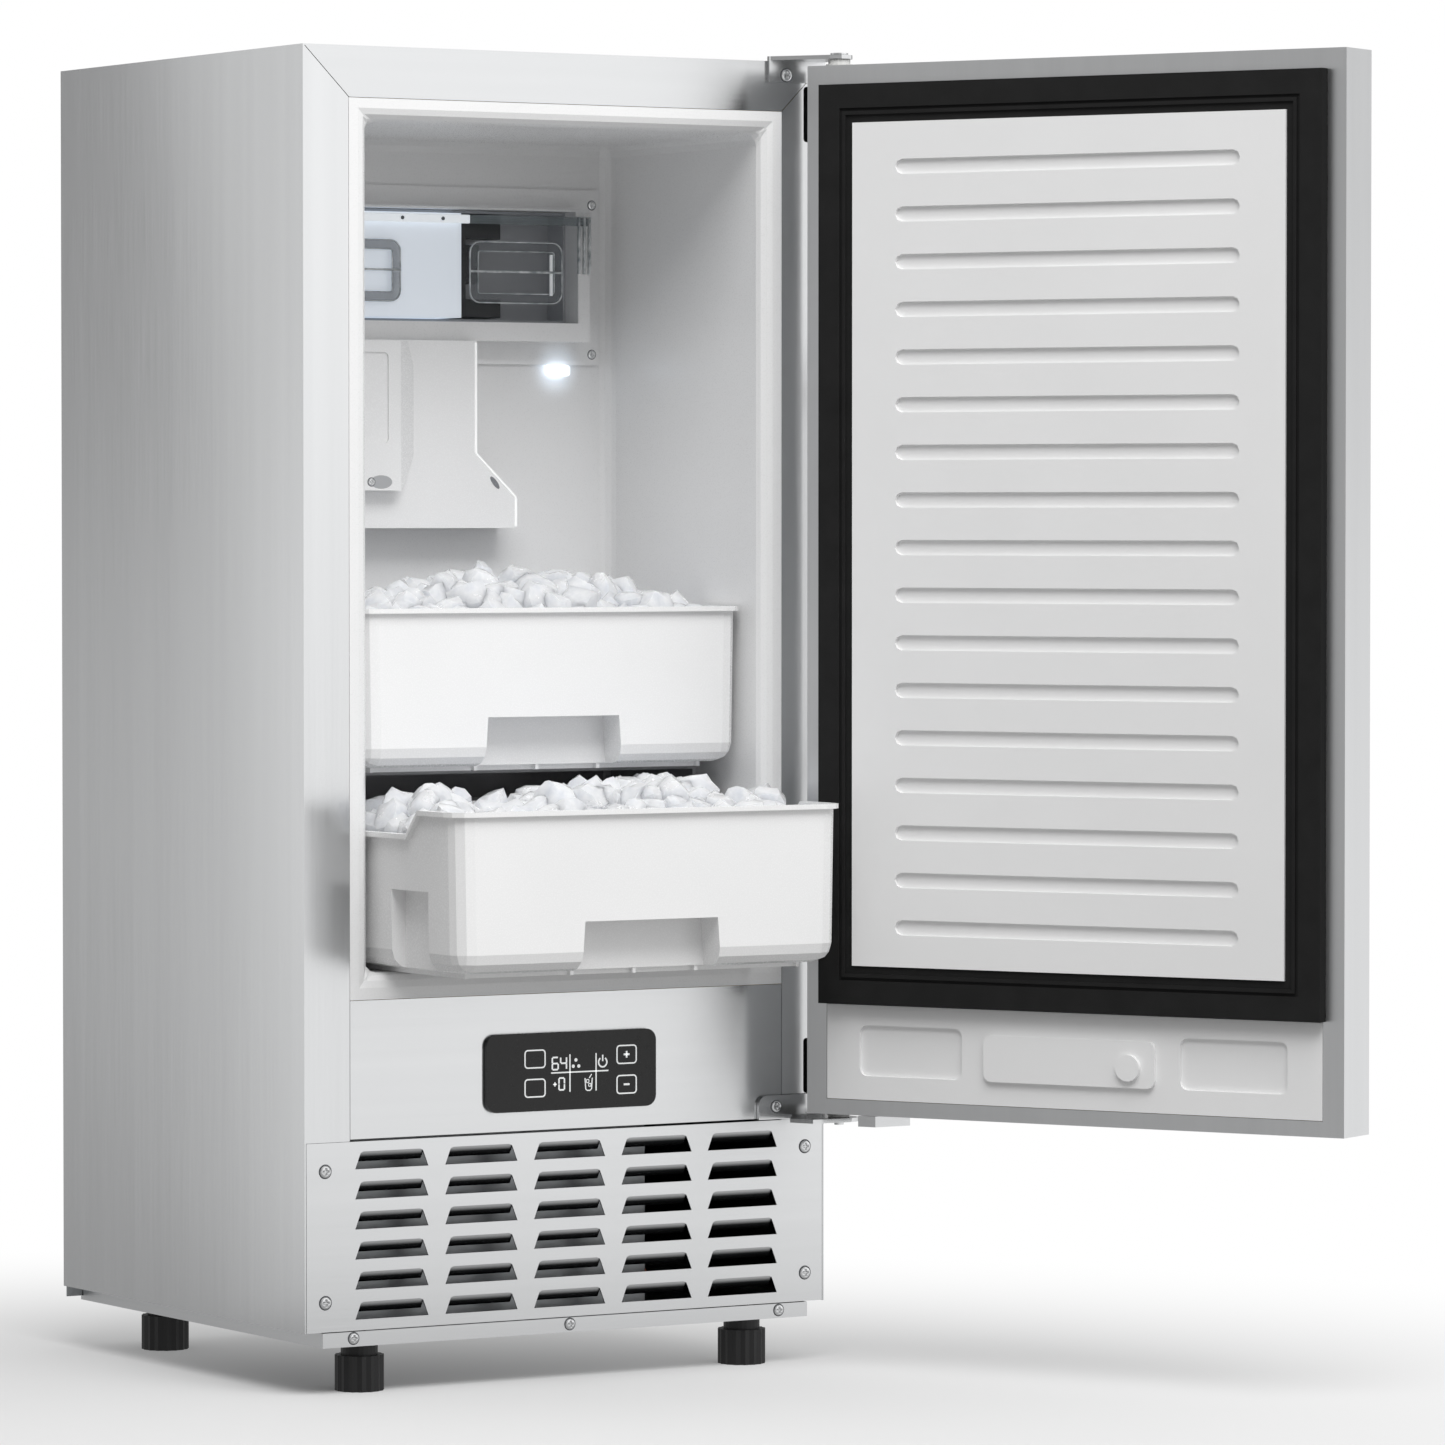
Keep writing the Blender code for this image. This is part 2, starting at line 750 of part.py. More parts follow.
def levelling_feet():
    """Four feet: a threaded stud, a neck against the tray and a ribbed grip that stands on the floor."""
    neck_top = panel_base - tray_drop - seat_gap
    grip_top = neck_top - foot_neck_height
    for name, x, y in foot_places():
        carrier(f"{name}_axis", (x, y, 0))
        ribbed = []
        for step in range(2 * foot_ribs):
            radius = foot_radius - (step % 2) * foot_rib_depth
            angle = math.pi * step / foot_ribs
            ribbed.append((x + radius * math.cos(angle), y + radius * math.sin(angle)))
        foot = plate(name, [ribbed], 'XY', 0, grip_top)
        join(foot, cylinder(f"{name}_neck", foot_neck_radius, (x, y, grip_top - cut_run), (x, y, neck_top)),
             cylinder(f"{name}_stud", foot_stud_radius, (x, y, grip_top - cut_run),
                      (x, y, neck_top + foot_stud_rise), 16))
        piece(foot, "black_plastic", f"{name}_axis")


# Grille and controls

def louvre_slot(x, top):
    """Outline of one slot: a flat wide bottom, leaning ends and round top corners."""
    half = slot_width / 2
    bottom = top - slot_height
    points = [(x - half, bottom), (x + half, bottom)]
    for side in (1, -1):
        corner = x + side * (half - slot_slant)
        start = 0 if side > 0 else 90
        for step in range(3):
            angle = math.radians(start + 45 * step)
            points.append((corner - side * slot_corner + slot_corner * math.cos(angle),
                           top - slot_corner + slot_corner * math.sin(angle)))
    return points


def slot_grid():
    """Middle and top edge of every slot."""
    for row in range(slot_rows):
        for column in range(slot_columns):
            x = (column - (slot_columns - 1) / 2) * slot_pitch_x
            yield f"{row}_{column}", x, grille_top - slot_top_drop - row * slot_pitch_z


def grille_panel():
    """A steel front with rows of slots, each with a louvre sloping in behind it from its top edge."""
    outlines = [rectangle((-inner_half_width, panel_base + seat_gap), (inner_half_width, grille_top))]
    outlines += [louvre_slot(x, top) for _, x, top in slot_grid()]
    grille = plate("grille_panel", outlines, 'XZ', 0, sheet)
    half = slot_width / 2 - slot_slant
    for place, x, top in slot_grid():
        foot = top - slot_height * louvre_share
        profile = [(louvre_depth, foot + 2 * louvre_sheet), (louvre_depth, foot), (sheet / 2, top),
                   (sheet / 2, top + louvre_sheet)]
        join(grille, plate(f"louvre_{place}", [profile], 'YZ', x - half, x + half))
    return piece(grille, "brushed_steel")


def control_fascia():
    """The steel plate over the grille, with an opening behind the touch panel."""
    edge = opening_half_width - seat_gap
    hole = rectangle((-board_width / 2, touch_bottom() + touch_corner),
                     (board_width / 2, touch_bottom() + touch_height - touch_corner))
    fascia = plate("control_fascia", [rectangle((-edge, fascia_bottom), (edge, fascia_top)), hole],
                   'XZ', 0, sheet)
    return piece(fascia, "brushed_steel")


def touch_bottom():
    return fascia_bottom + touch_rise


def touch_panel():
    low = touch_bottom()
    outline = rectangle((-touch_width / 2, low), (touch_width / 2, low + touch_height), touch_corner)
    front = -seat_gap - touch_thickness
    return piece(plate("touch_panel", [outline], 'XZ', front, -seat_gap), "black_glass")


def control_board():
    """The circuit board behind the fascia, on four posts."""
    middle = touch_bottom() + touch_height / 2
    front = sheet + seat_gap + board_standoff
    low, high = middle - board_height * 0.9, middle + board_height * 0.9
    edge = board_width / 2 + 4 * standoff_radius
    board = block("control_board", (-edge, front, low), (edge, front + board_thickness, high))
    for side in (-1, 1):
        for level in (low + 2 * standoff_radius, high - 2 * standoff_radius):
            x = side * (edge - 2 * standoff_radius)
            join(board, cylinder("board_post", standoff_radius, (x, sheet + seat_gap, level),
                                 (x, front + board_thickness / 2, level), 12))
    return piece(board, "circuit_board")


# Liner and insulation

def inner_liner():
    """A moulded tub lying on its back, its front edge turned out into a rim behind the frame."""
    mesh = bpy.data.meshes.new("inner_liner")
    form = bmesh.new()
    size = (2 * cavity_half_width, cavity_depth, cavity_height)
    bmesh.ops.create_cube(form, size=1, matrix=Matrix.Diagonal((*size, 1)))
    front = [face for face in form.faces if face.normal.y < -0.5]
    rim = bmesh.ops.extrude_face_region(form, geom=front)
    bmesh.ops.delete(form, geom=front, context='FACES_ONLY')
    middle_z = (liner_floor + liner_ceiling) / 2
    rim_low, rim_high = fascia_top + seat_gap, cabinet_top - frame_width - seat_gap
    for vert in (item for item in rim["geom"] if isinstance(item, bmesh.types.BMVert)):
        vert.co.x = math.copysign(opening_half_width - seat_gap, vert.co.x)
        vert.co.z = (rim_high if vert.co.z > 0 else rim_low) - middle_z
    caps = [item for item in rim["geom"] if isinstance(item, bmesh.types.BMFace)]
    bmesh.ops.delete(form, geom=caps, context='FACES_ONLY')
    bmesh.ops.recalc_face_normals(form, faces=form.faces)
    form.to_mesh(mesh)
    form.free()
    liner = raw("inner_liner", mesh, (0, cavity_depth / 2, middle_z))
    edges = liner.modifiers.new("moulded corners", 'BEVEL')
    edges.width = liner_radius
    edges.segments = 3
    edges.limit_method = 'ANGLE'
    wall = liner.modifiers.new("wall", 'SOLIDIFY')
    wall.thickness = liner_wall
    wall.offset = -1
    wall.use_even_offset = True
    low, high = outlet_opening()
    cut(liner, block("liner_outlet", (low[0], cavity_depth - cut_run, low[1]),
                     (high[0], liner_back + cut_run, high[1])))
    return piece(liner, "liner_plastic")


def outlet_opening():
    """The window in the back wall for the module's housing, as XZ corners."""
    reach = 2 * seat_gap
    low = panel_base + module_bottom + window_bottom
    high = panel_base + module_bottom + module_height - window_top
    return ((-window_half_width - reach, low - reach), (window_half_width + reach, high + reach))


def insulation():
    """Foam round the liner, between the steel shell, the shelf and the machine space behind."""
    front = liner_radius + liner_wall + 2 * seat_gap
    foam = block("insulation", (-inner_half_width, front, shelf_top + seat_gap),
                 (inner_half_width, insulation_rear, cabinet_top - sheet - seat_gap))
    reach = liner_wall + seat_gap
    cut(foam, block("foam_hollow", (-cavity_half_width - reach, -cut_run, liner_floor - reach),
                    (cavity_half_width + reach, liner_back + seat_gap, liner_ceiling + reach)))
    low, high = outlet_opening()
    cut(foam, block("foam_housing_hole", (low[0], cavity_depth, low[1]),
                    (high[0], cavity_depth + cavity_box_depth + outlet_wall + 2 * seat_gap, high[1])))
    x, z = barrel_offset, spout_low
    gap = 2 * seat_gap
    cut(foam, block("foam_spout_hole", (x - spout_half_width - gap, cavity_depth, z - gap),
                    (x + spout_half_width + gap, insulation_rear + cut_run, z + spout_height + gap)))
    return piece(foam, "foam")


def partition_shelf():
    """The steel shelf between the machine space below and the cold space above."""
    shelf = block("partition_shelf", (-inner_half_width, shelf_front_inset, shelf_bottom),
                  (inner_half_width, back_plane - sheet - seat_gap, shelf_top))
    for x in riser_places():
        cut(shelf, cylinder("shelf_tube_hole", 2 * tube_radius, (x, barrel_y, shelf_bottom - cut_run),
                            (x, barrel_y, shelf_top + cut_run), 16))
    drain = (reservoir_offset - reservoir_width / 2 + 2 * hose_radius,
             back_plane - sheet - seat_gap - reservoir_depth / 2)
    cut(shelf, cylinder("shelf_hose_hole", hose_radius + 4 * seat_gap, (*drain, shelf_bottom - cut_run),
                        (*drain, shelf_top + cut_run), 16))
    return piece(shelf, "galvanised")


# Bins

def tub(name, top, floor, front, back, low, high, radius):
    """A block with leaning sides, whose upright and bottom edges are rounded."""
    mesh = bpy.data.meshes.new(name)
    form = bmesh.new()
    bmesh.ops.create_cube(form, size=2)
    for vert in form.verts:
        upper = vert.co.z > 0
        half = top if upper else floor
        vert.co = (math.copysign(half, vert.co.x), back if vert.co.y > 0 else front, high if upper else low)
    soft = [edge for edge in form.edges if min(v.co.z for v in edge.verts) < (low + high) / 2]
    bmesh.ops.bevel(form, geom=soft, offset=radius, segments=3, profile=0.5, affect='EDGES')
    form.to_mesh(mesh)
    form.free()
    return raw(name, mesh)


def rim_line(front, rim):
    """The rim seen from the side, front to back: high, stepped down, high again."""
    low = rim - side_dip
    return [(front + side_dip_start, rim), (front + side_dip_start + side_dip_ramp, low),
            (front + side_dip_end - side_dip_ramp, low), (front + side_dip_end, rim)]


def ice_bin(name, front, bottom, carried_by):
    """A white tub with stepped side rims, a finger grip in front, hand recesses and base ribs."""
    rim = bottom + bin_height
    back = front + bin_depth
    body = tub(name, bin_top_half_width, bin_floor_half_width, front, back, bottom, rim + 2 * cut_run,
               bin_radius)
    lip = tub(f"{name}_lip", bin_top_half_width + bin_lip, bin_top_half_width + bin_lip, front - bin_lip,
              back + bin_lip, bottom - bin_height, rim + 2 * cut_run, bin_radius + bin_lip)
    steps = rim_line(front, rim)
    ends = (front - 4 * bin_lip, back + 4 * bin_lip)
    line = [(ends[0], rim)] + steps + [(ends[1], rim)]
    band = [(y, z + cut_run) for y, z in line]
    under = [(y, z - bin_lip_height) for y, z in reversed(line)]
    span = bin_top_half_width + 4 * bin_lip
    combine(lip, plate(f"{name}_lip_band", [(band + under)[::-1]], 'YZ', -span, span), 'INTERSECT')
    join(body, lip)

    inside = tub(f"{name}_inside", bin_top_half_width - bin_wall, bin_floor_half_width - bin_wall,
                 front + bin_wall, back - bin_wall, bottom + bin_wall, rim + 3 * cut_run,
                 bin_radius - bin_wall)
    grip, grip_wall = finger_grip(name, front, bottom)
    cut(inside, grip_wall)
    recesses = []
    for side in (-1, 1):
        recess, recess_wall = hand_recess(name, side, front, bottom)
        cut(inside, recess_wall)
        recesses.append(recess)
    cut(body, inside)
    above = [(ends[0], rim + bin_height)] + line + [(ends[1], rim + bin_height)]
    cut(body, plate(f"{name}_above_rim", [above], 'YZ', -span - cut_run, span + cut_run), grip, *recesses)
    join(body, base_ribs(name, front, bottom))
    return piece(body, "white_plastic", carried_by)


def finger_grip(name, front, bottom):
    """The grip's cutter, and the same form grown by the wall, which is left standing inside."""
    forms = []
    for grow, tag in ((0.0, "grip"), (bin_wall, "grip_wall")):
        low = bottom - cut_run
        high = bottom + grip_height + grow
        outline = [(-grip_floor_half_width - grow, low), (grip_floor_half_width + grow, low),
                   (grip_top_half_width + grow, high), (-grip_top_half_width - grow, high)]
        forms.append(plate(f"{name}_{tag}", [outline], 'XZ', front - 4 * bin_lip, front + grip_depth + grow))
    return forms


def hand_recess(name, side, front, bottom):
    """The same for the shallow recess low in each side wall."""
    forms = []
    for grow, tag in ((0.0, "recess"), (bin_wall, "recess_wall")):
        start = front + hand_recess_start - grow
        end = front + hand_recess_start + hand_recess_length + grow
        inner = bin_floor_half_width - hand_recess_depth - grow
        x = sorted((side * inner, side * (bin_top_half_width + 4 * bin_lip)))
        forms.append(block(f"{name}_{tag}_{side}", (x[0], start, bottom - cut_run),
                           (x[1], end, bottom + hand_recess_height + grow)))
    return forms


def base_ribs(name, front, bottom):
    """The ladder of ribs that the bin stands on, the cross ribs running on a little in front."""
    near, far = front + rib_front_inset, front + bin_depth - rib_rear_inset
    half = rib_thickness / 2
    lines = [k * rib_pitch for k in range(-rib_windows_each_side + 1, rib_windows_each_side)]
    stops = [-rib_half_width + half] + lines + [rib_half_width - half]
    frame = []
    for x in stops:
        frame += [(x - half, near - rib_hook), (x + half, near - rib_hook), (x + half, near)]
        if x < stops[-1]:
            frame.append((stops[stops.index(x) + 1] - half, near))
    frame[-1:] = [(rib_half_width, far), (-rib_half_width, far)]
    outlines = [frame]
    for left, right in zip(stops, stops[1:]):
        outlines.append(rectangle((left + half, near + rib_thickness), (right - half, far - rib_thickness)))
    return plate(f"{name}_ribs", outlines, 'XY', bottom - rib_drop, bottom + bin_wall / 2)


def bin_support():
    """The dark shelf that the upper bin stands on, with a short cheek at each side and an apron behind."""
    edge = cavity_half_width - seat_gap
    back = cavity_depth - seat_gap
    low = liner_floor + support_apron_rise
    cradle = block("bin_support", (-edge, support_front, low), (edge, back, support_top))
    cut(cradle, block("support_hollow", (-edge + support_sheet, support_front - cut_run, low - cut_run),
                      (edge - support_sheet, back - support_sheet, support_top - support_sheet)),
        block("support_step", (-edge - cut_run, support_front - cut_run, low - cut_run),
              (edge + cut_run, back - support_sheet, liner_floor + support_cheek_rise)))
    corner = liner_radius * 1.2
    for side in (-1, 1):
        x = side * edge
        wedge = [(x + side * cut_run, back + cut_run), (x + side * cut_run, back - corner),
                 (x, back - corner),
                 (x - side * corner, back), (x - side * corner, back + cut_run)]
        cut(cradle, plate(f"support_corner_{side}", [wedge[::-side]], 'XY', low - cut_run,
                          support_top + cut_run))
    return piece(cradle, "black_plastic")


# Ice module

def module_frame():
    """The mounting plate on the back wall with the boxed frame that holds the clear cover."""
    bottom, top = panel_base + plate_bottom, panel_base + plate_bottom + plate_height
    back = cavity_depth - seat_gap
    frame = block("module_frame", (-plate_half_width, back - plate_thickness, bottom),
                  (plate_half_width, back, top))
    low = panel_base + module_bottom
    high = low + module_height
    join(frame, block("module_box", (-module_half_width, module_front, low),
                      (module_half_width, back - plate_thickness / 2, high)))
    window = (-window_half_width, window_half_width, low + window_bottom, high - window_top)
    cut(frame, block("module_window", (window[0], module_front - cut_run, window[2]),
                     (window[1], back + cut_run, window[3])))
    chute_edge = (chute_left + chute_wall, chute_right - chute_wall)
    cut(frame, block("module_drop", (chute_edge[0], module_front + chute_wall, bottom - cut_run),
                     (chute_edge[1], back + cut_run, low + window_bottom + cut_run)))
    cut(frame, block("module_chute_notch", (chute_left - 2 * seat_gap, module_front - cut_run,
                                            bottom - cut_run),
                     (chute_right + 2 * seat_gap, back + cut_run, low)))
    bar = cover_bar + 2 * seat_gap
    cut(frame, block("module_bar_seat", (-module_half_width - cut_run, module_front - cut_run, high - bar),
                     (module_half_width + cut_run, module_front + cover_thickness + 2 * seat_gap,
                      high + cut_run)))
    return piece(frame, "liner_plastic")


def cover_hinge():
    """The clear cover's hinge line: height and depth of its axis."""
    return panel_base + module_bottom + module_height, module_front


def module_cover():
    """The clear cover, hung from the bar along its top edge, with two grips and ribbed end clips."""
    hinge_z, hinge_depth = cover_hinge()
    carrier("module_cover_axis", (0, hinge_depth, hinge_z))
    low = panel_base + module_bottom + window_bottom + 2 * seat_gap
    high = panel_base + module_bottom + module_height
    half = window_half_width - 2 * seat_gap
    front = module_front
    cover = block("module_cover", (-half, front, low), (half, front + cover_thickness, high - cover_bar / 2))
    join(cover, block("cover_bar", (-module_half_width, front, high - cover_bar),
                      (module_half_width, front + cover_thickness, high)))
    for side in (-1, 1):
        x = sorted((side * grip_plate_inner, side * grip_plate_outer))
        z = (low + grip_plate_bottom, low + grip_plate_bottom + grip_plate_height)
        well = rectangle((x[0], z[0]), (x[1], z[1]), grip_plate_corner, 3)
        cut(cover, plate(f"cover_well_{side}", [well], 'XZ', front - cut_run, front + grip_plate_relief))
        middle = (z[0] + z[1]) / 2
        join(cover, block(f"cover_rib_{side}", (x[0] - seat_gap, front, middle - grip_plate_rib / 2),
                          (x[1] + seat_gap, front + 1.5 * grip_plate_relief, middle + grip_plate_rib / 2)))
        for index in range(clip_count):
            clip_x = side * (module_half_width - clip_thickness / 2 - index * clip_pitch)
            join(cover, block(f"clip_{side}_{index}", (clip_x - clip_thickness / 2, front - clip_depth,
                                                       high - clip_drop),
                              (clip_x + clip_thickness / 2, front + cover_thickness / 2 - seat_gap,
                               high - cover_bar / 3)))
    trim = block("clip_clearance", (-module_half_width - cut_run, front - seat_gap, low - cut_run),
                 (-half, front + 2 * cover_thickness, high - cover_bar - seat_gap))
    other = block("clip_clearance_right", (half, front - seat_gap, low - cut_run),
                  (module_half_width + cut_run, front + 2 * cover_thickness, high - cover_bar - seat_gap))
    cut(cover, trim, other)
    return piece(cover, "clear_plastic", "module_cover_axis")


def cavity_box():
    """The dark open box let into the back wall behind the cover."""
    (x0, z0), (x1, z1) = outlet_opening()
    inset = 2 * seat_gap
    x0, z0, x1, z1 = x0 + inset, z0 + inset, x1 - inset, z1 - inset
    front, back = cavity_depth - seat_gap - plate_thickness, cavity_depth + cavity_box_depth
    box = block("module_cavity", (x0 + seat_gap, front, z0 + seat_gap), (x1 - seat_gap, back, z1 - seat_gap))
    cut(box, block("cavity_inside", (x0 + outlet_wall, front - cut_run, z0 + outlet_wall),
                   (x1 - outlet_wall, back - outlet_wall, z1 - outlet_wall)))
    z = spout_low
    cut(box, block("cavity_spout_hole", (barrel_offset - spout_half_width - 2 * seat_gap, back - cut_run,
                                         z - 2 * seat_gap),
                   (barrel_offset + spout_half_width + 2 * seat_gap, back + cut_run,
                    z + spout_height + 2 * seat_gap)))
    return piece(box, "black_plastic")


def outlet_housing():
    """The white housing left of the cavity, which turns the ice down into the chute."""
    (x0, z0), (_, z1) = outlet_opening()
    left = x0 + outlet_wall + 4 * seat_gap
    low, high = z0 + outlet_wall + 4 * seat_gap, z1 - outlet_wall - 4 * seat_gap
    front = module_front + cover_thickness + 4 * seat_gap
    back = cavity_depth + cavity_box_depth - outlet_wall - seat_gap
    house = block("outlet_housing", (left, front, low), (outlet_right, back, high))
    z = spout_low
    cut(house, block("housing_inside", (left + outlet_wall, front + outlet_wall, low - cut_run),
                     (outlet_right - outlet_wall, back - outlet_wall, high - outlet_wall)))
    gap = 2 * seat_gap
    cut(house, block("housing_spout_hole", (barrel_offset - spout_half_width - gap, back - cut_run, z - gap),
                     (barrel_offset + spout_half_width + gap, back + cut_run, z + spout_height + gap)))
    return piece(house, "white_plastic")


def chute_outline(inset=0.0):
    """The chute's front outline, straight on the left and stepping out on the right."""
    top = panel_base + module_bottom - seat_gap
    bottom = panel_base + chute_bottom
    foot = bottom + chute_foot_height
    slant = foot + chute_slant_height
    return [(chute_left + inset, bottom), (chute_foot_right - inset, bottom),
            (chute_foot_right - inset, foot - inset / 2), (chute_right - inset, slant - inset / 2),
            (chute_right - inset, top), (chute_left + inset, top)]


def ice_chute():
    """A shallow hood on the back wall, open at its top, back and bottom, that drops ice in the bin."""
    back = cavity_depth - seat_gap
    front = back - chute_depth
    chute = plate("ice_chute", [chute_outline()], 'XZ', front, back)
    inner = chute_outline(chute_wall)
    inner = [(x, z - cut_run if z < panel_base + chute_bottom + seat_gap else z) for x, z in inner]
    inner = [(x, z + cut_run if z > panel_base + module_bottom - cut_run else z) for x, z in inner]
    cut(chute, plate("chute_inside", [inner], 'XZ', front + chute_wall, back + cut_run))
    join(chute, chute_bulge())
    return piece(chute, "white_plastic")


def chute_bulge():
    """The raised face of the chute, chamfered on its right, with a shallow panel in it."""
    low = panel_base + chute_bottom + cap_bottom_rise
    high = panel_base + module_bottom - 4 * seat_gap
    back = cavity_depth - seat_gap - chute_depth
    front = back - cap_rise
    slope = cap_slope
    outline = [(cap_left + slope, low), (cap_right - slope, low), (cap_right, low + 1.5 * slope),
               (cap_right, high - slope), (cap_right - slope / 2, high), (cap_left, high), (cap_left,
                                                                                            low + slope)]
    bulge = plate("chute_bulge", [outline], 'XZ', front, back + chute_wall / 2)
    chamfer = [(cap_right + cut_run, front - cut_run), (cap_right + cut_run, back - seat_gap),
               (cap_right, back - seat_gap), (cap_right - slope, front), (cap_right - slope, front - cut_run)]
    cut(bulge, plate("bulge_chamfer", [chamfer], 'XY', low - cut_run, high + cut_run))
    panel = rectangle((cap_left + slope, low + 2 * slope), (cap_right - 1.6 * slope, high - slope / 2),
                      slope / 5, 3)
    cut(bulge, plate("bulge_recess", [panel], 'XZ', front - cut_run, front + cap_recess_relief))
    return bulge


def level_sensor():
    """The small lens set in the chute's slanted edge, which sees when the bin is full."""
    bottom = panel_base + chute_bottom
    foot = bottom + chute_foot_height
    middle = Vector(((chute_foot_right + chute_right) / 2, 0, foot + chute_slant_height / 2))
    along = Vector((chute_right - chute_foot_right, 0, chute_slant_height)).normalized()
    out = Vector((along.z, 0, -along.x))
    centre_y = cavity_depth - seat_gap - chute_depth / 2
    centre = middle + out * (seat_gap + sensor_width / 4)
    lens = block("level_sensor", (-sensor_width / 4, centre_y - sensor_width, -sensor_length / 2),
                 (sensor_width / 4, centre_y + sensor_width, sensor_length / 2))
    lens.rotation_euler = (0, math.atan2(along.x, along.z), 0)
    lens.location.x += centre.x
    lens.location.z += centre.z
    return piece(lens, "black_glass")


def lamp_lens():
    """The lamp under the module's plate."""
    top = panel_base + plate_bottom - seat_gap
    back = cavity_depth - seat_gap
    lens = block("lamp_lens", (lamp_offset - lamp_width / 2, back - lamp_depth, top - lamp_height),
                 (lamp_offset + lamp_width / 2, back, top), lamp_height / 4)
    return piece(lens, "lamp_lens")


# Ice making

def ice_maker():
    """Gear motor, barrel, auger and the head whose spout leads through the foam to the module."""
    x, y = barrel_offset, barrel_y
    half = motor_width / 2
    piece(block("gear_motor", (x - half, y - half, motor_bottom),
                (x + half, y + half, motor_bottom + motor_height),
                foot_rib_depth), "galvanised")
    barrel = cylinder("evaporator_barrel", barrel_radius, (x, y, barrel_bottom),
                      (x, y, barrel_bottom + barrel_height), 32)
    cut(barrel, cylinder("barrel_bore", barrel_bore, (x, y, barrel_bottom - cut_run),
                         (x, y, barrel_bottom + barrel_height + cut_run), 32))
    piece(barrel, "brushed_steel", smooth=True)
    auger()
    head = cylinder("extruder_head", head_radius, (x, y, head_bottom), (x, y, head_bottom + head_height), 32)
    low = spout_low
    front = cavity_depth + cavity_box_depth - outlet_wall - 2 * seat_gap
    join(head, block("spout", (x - spout_half_width, front, low),
                     (x + spout_half_width, y, low + spout_height)))
    cut(head, block("spout_bore", (x - spout_half_width + spout_wall, front - cut_run, low + spout_wall),
                    (x + spout_half_width - spout_wall, y, low + spout_height - spout_wall)),
        cylinder("head_bore", barrel_bore, (x, y, head_bottom - cut_run),
                 (x, y, head_bottom + head_height - 2 * spout_wall), 32))
    piece(head, "white_plastic", smooth=True)
    level = barrel_bottom + barrel_height * bracket_share
    ring = []
    for step in range(32):
        angle = math.tau * step / 32
        ring.append((x + (barrel_radius + 2 * seat_gap) * math.cos(angle),
                     y + (barrel_radius + 2 * seat_gap) * math.sin(angle)))
    outer = rectangle((x - bracket_width / 2, insulation_rear + seat_gap),
                      (x + bracket_width / 2, back_plane - sheet - seat_gap))
    piece(plate("barrel_bracket", [outer, ring], 'XY', level, level + bracket_sheet), "galvanised")


def auger():
    """The screw inside the barrel: a shaft joined to a flight that follows a helix."""
    x, y = barrel_offset, barrel_y
    carrier("auger_axis", (x, y, 0))
    low = barrel_bottom
    high = head_bottom + head_height - 3 * spout_wall
    shaft = cylinder("auger", auger_core, (x, y, low), (x, y, high), 16)
    steps = auger_turns * 9
    start, end = low + 2 * auger_flight, barrel_bottom + barrel_height - auger_flight
    mesh = bpy.data.meshes.new("auger_flight")
    form = bmesh.new()
    rings = []
    for step in range(steps + 1):
        angle = math.tau * auger_turns * step / steps
        z = start + (end - start) * step / steps
        ring = []
        for radius, rise in ((auger_core * 0.8, -1), (auger_radius, -0.5), (auger_radius, 0.5),
                             (auger_core * 0.8, 1)):
            ring.append(form.verts.new((radius * math.cos(angle), radius * math.sin(angle),
                                        z + rise * auger_flight / 2)))
        rings.append(ring)
    for before, after in zip(rings, rings[1:]):
        for k in range(4):
            form.faces.new((before[k], before[(k + 1) % 4], after[(k + 1) % 4], after[k]))
    form.faces.new(rings[0][::-1])
    form.faces.new(rings[-1])
    bmesh.ops.triangulate(form, faces=form.faces)
    bmesh.ops.recalc_face_normals(form, faces=form.faces)
    form.to_mesh(mesh)
    form.free()
    join(shaft, raw("auger_flight", mesh, (x, y, 0)))
    return piece(shaft, "brushed_steel", "auger_axis")


# Water

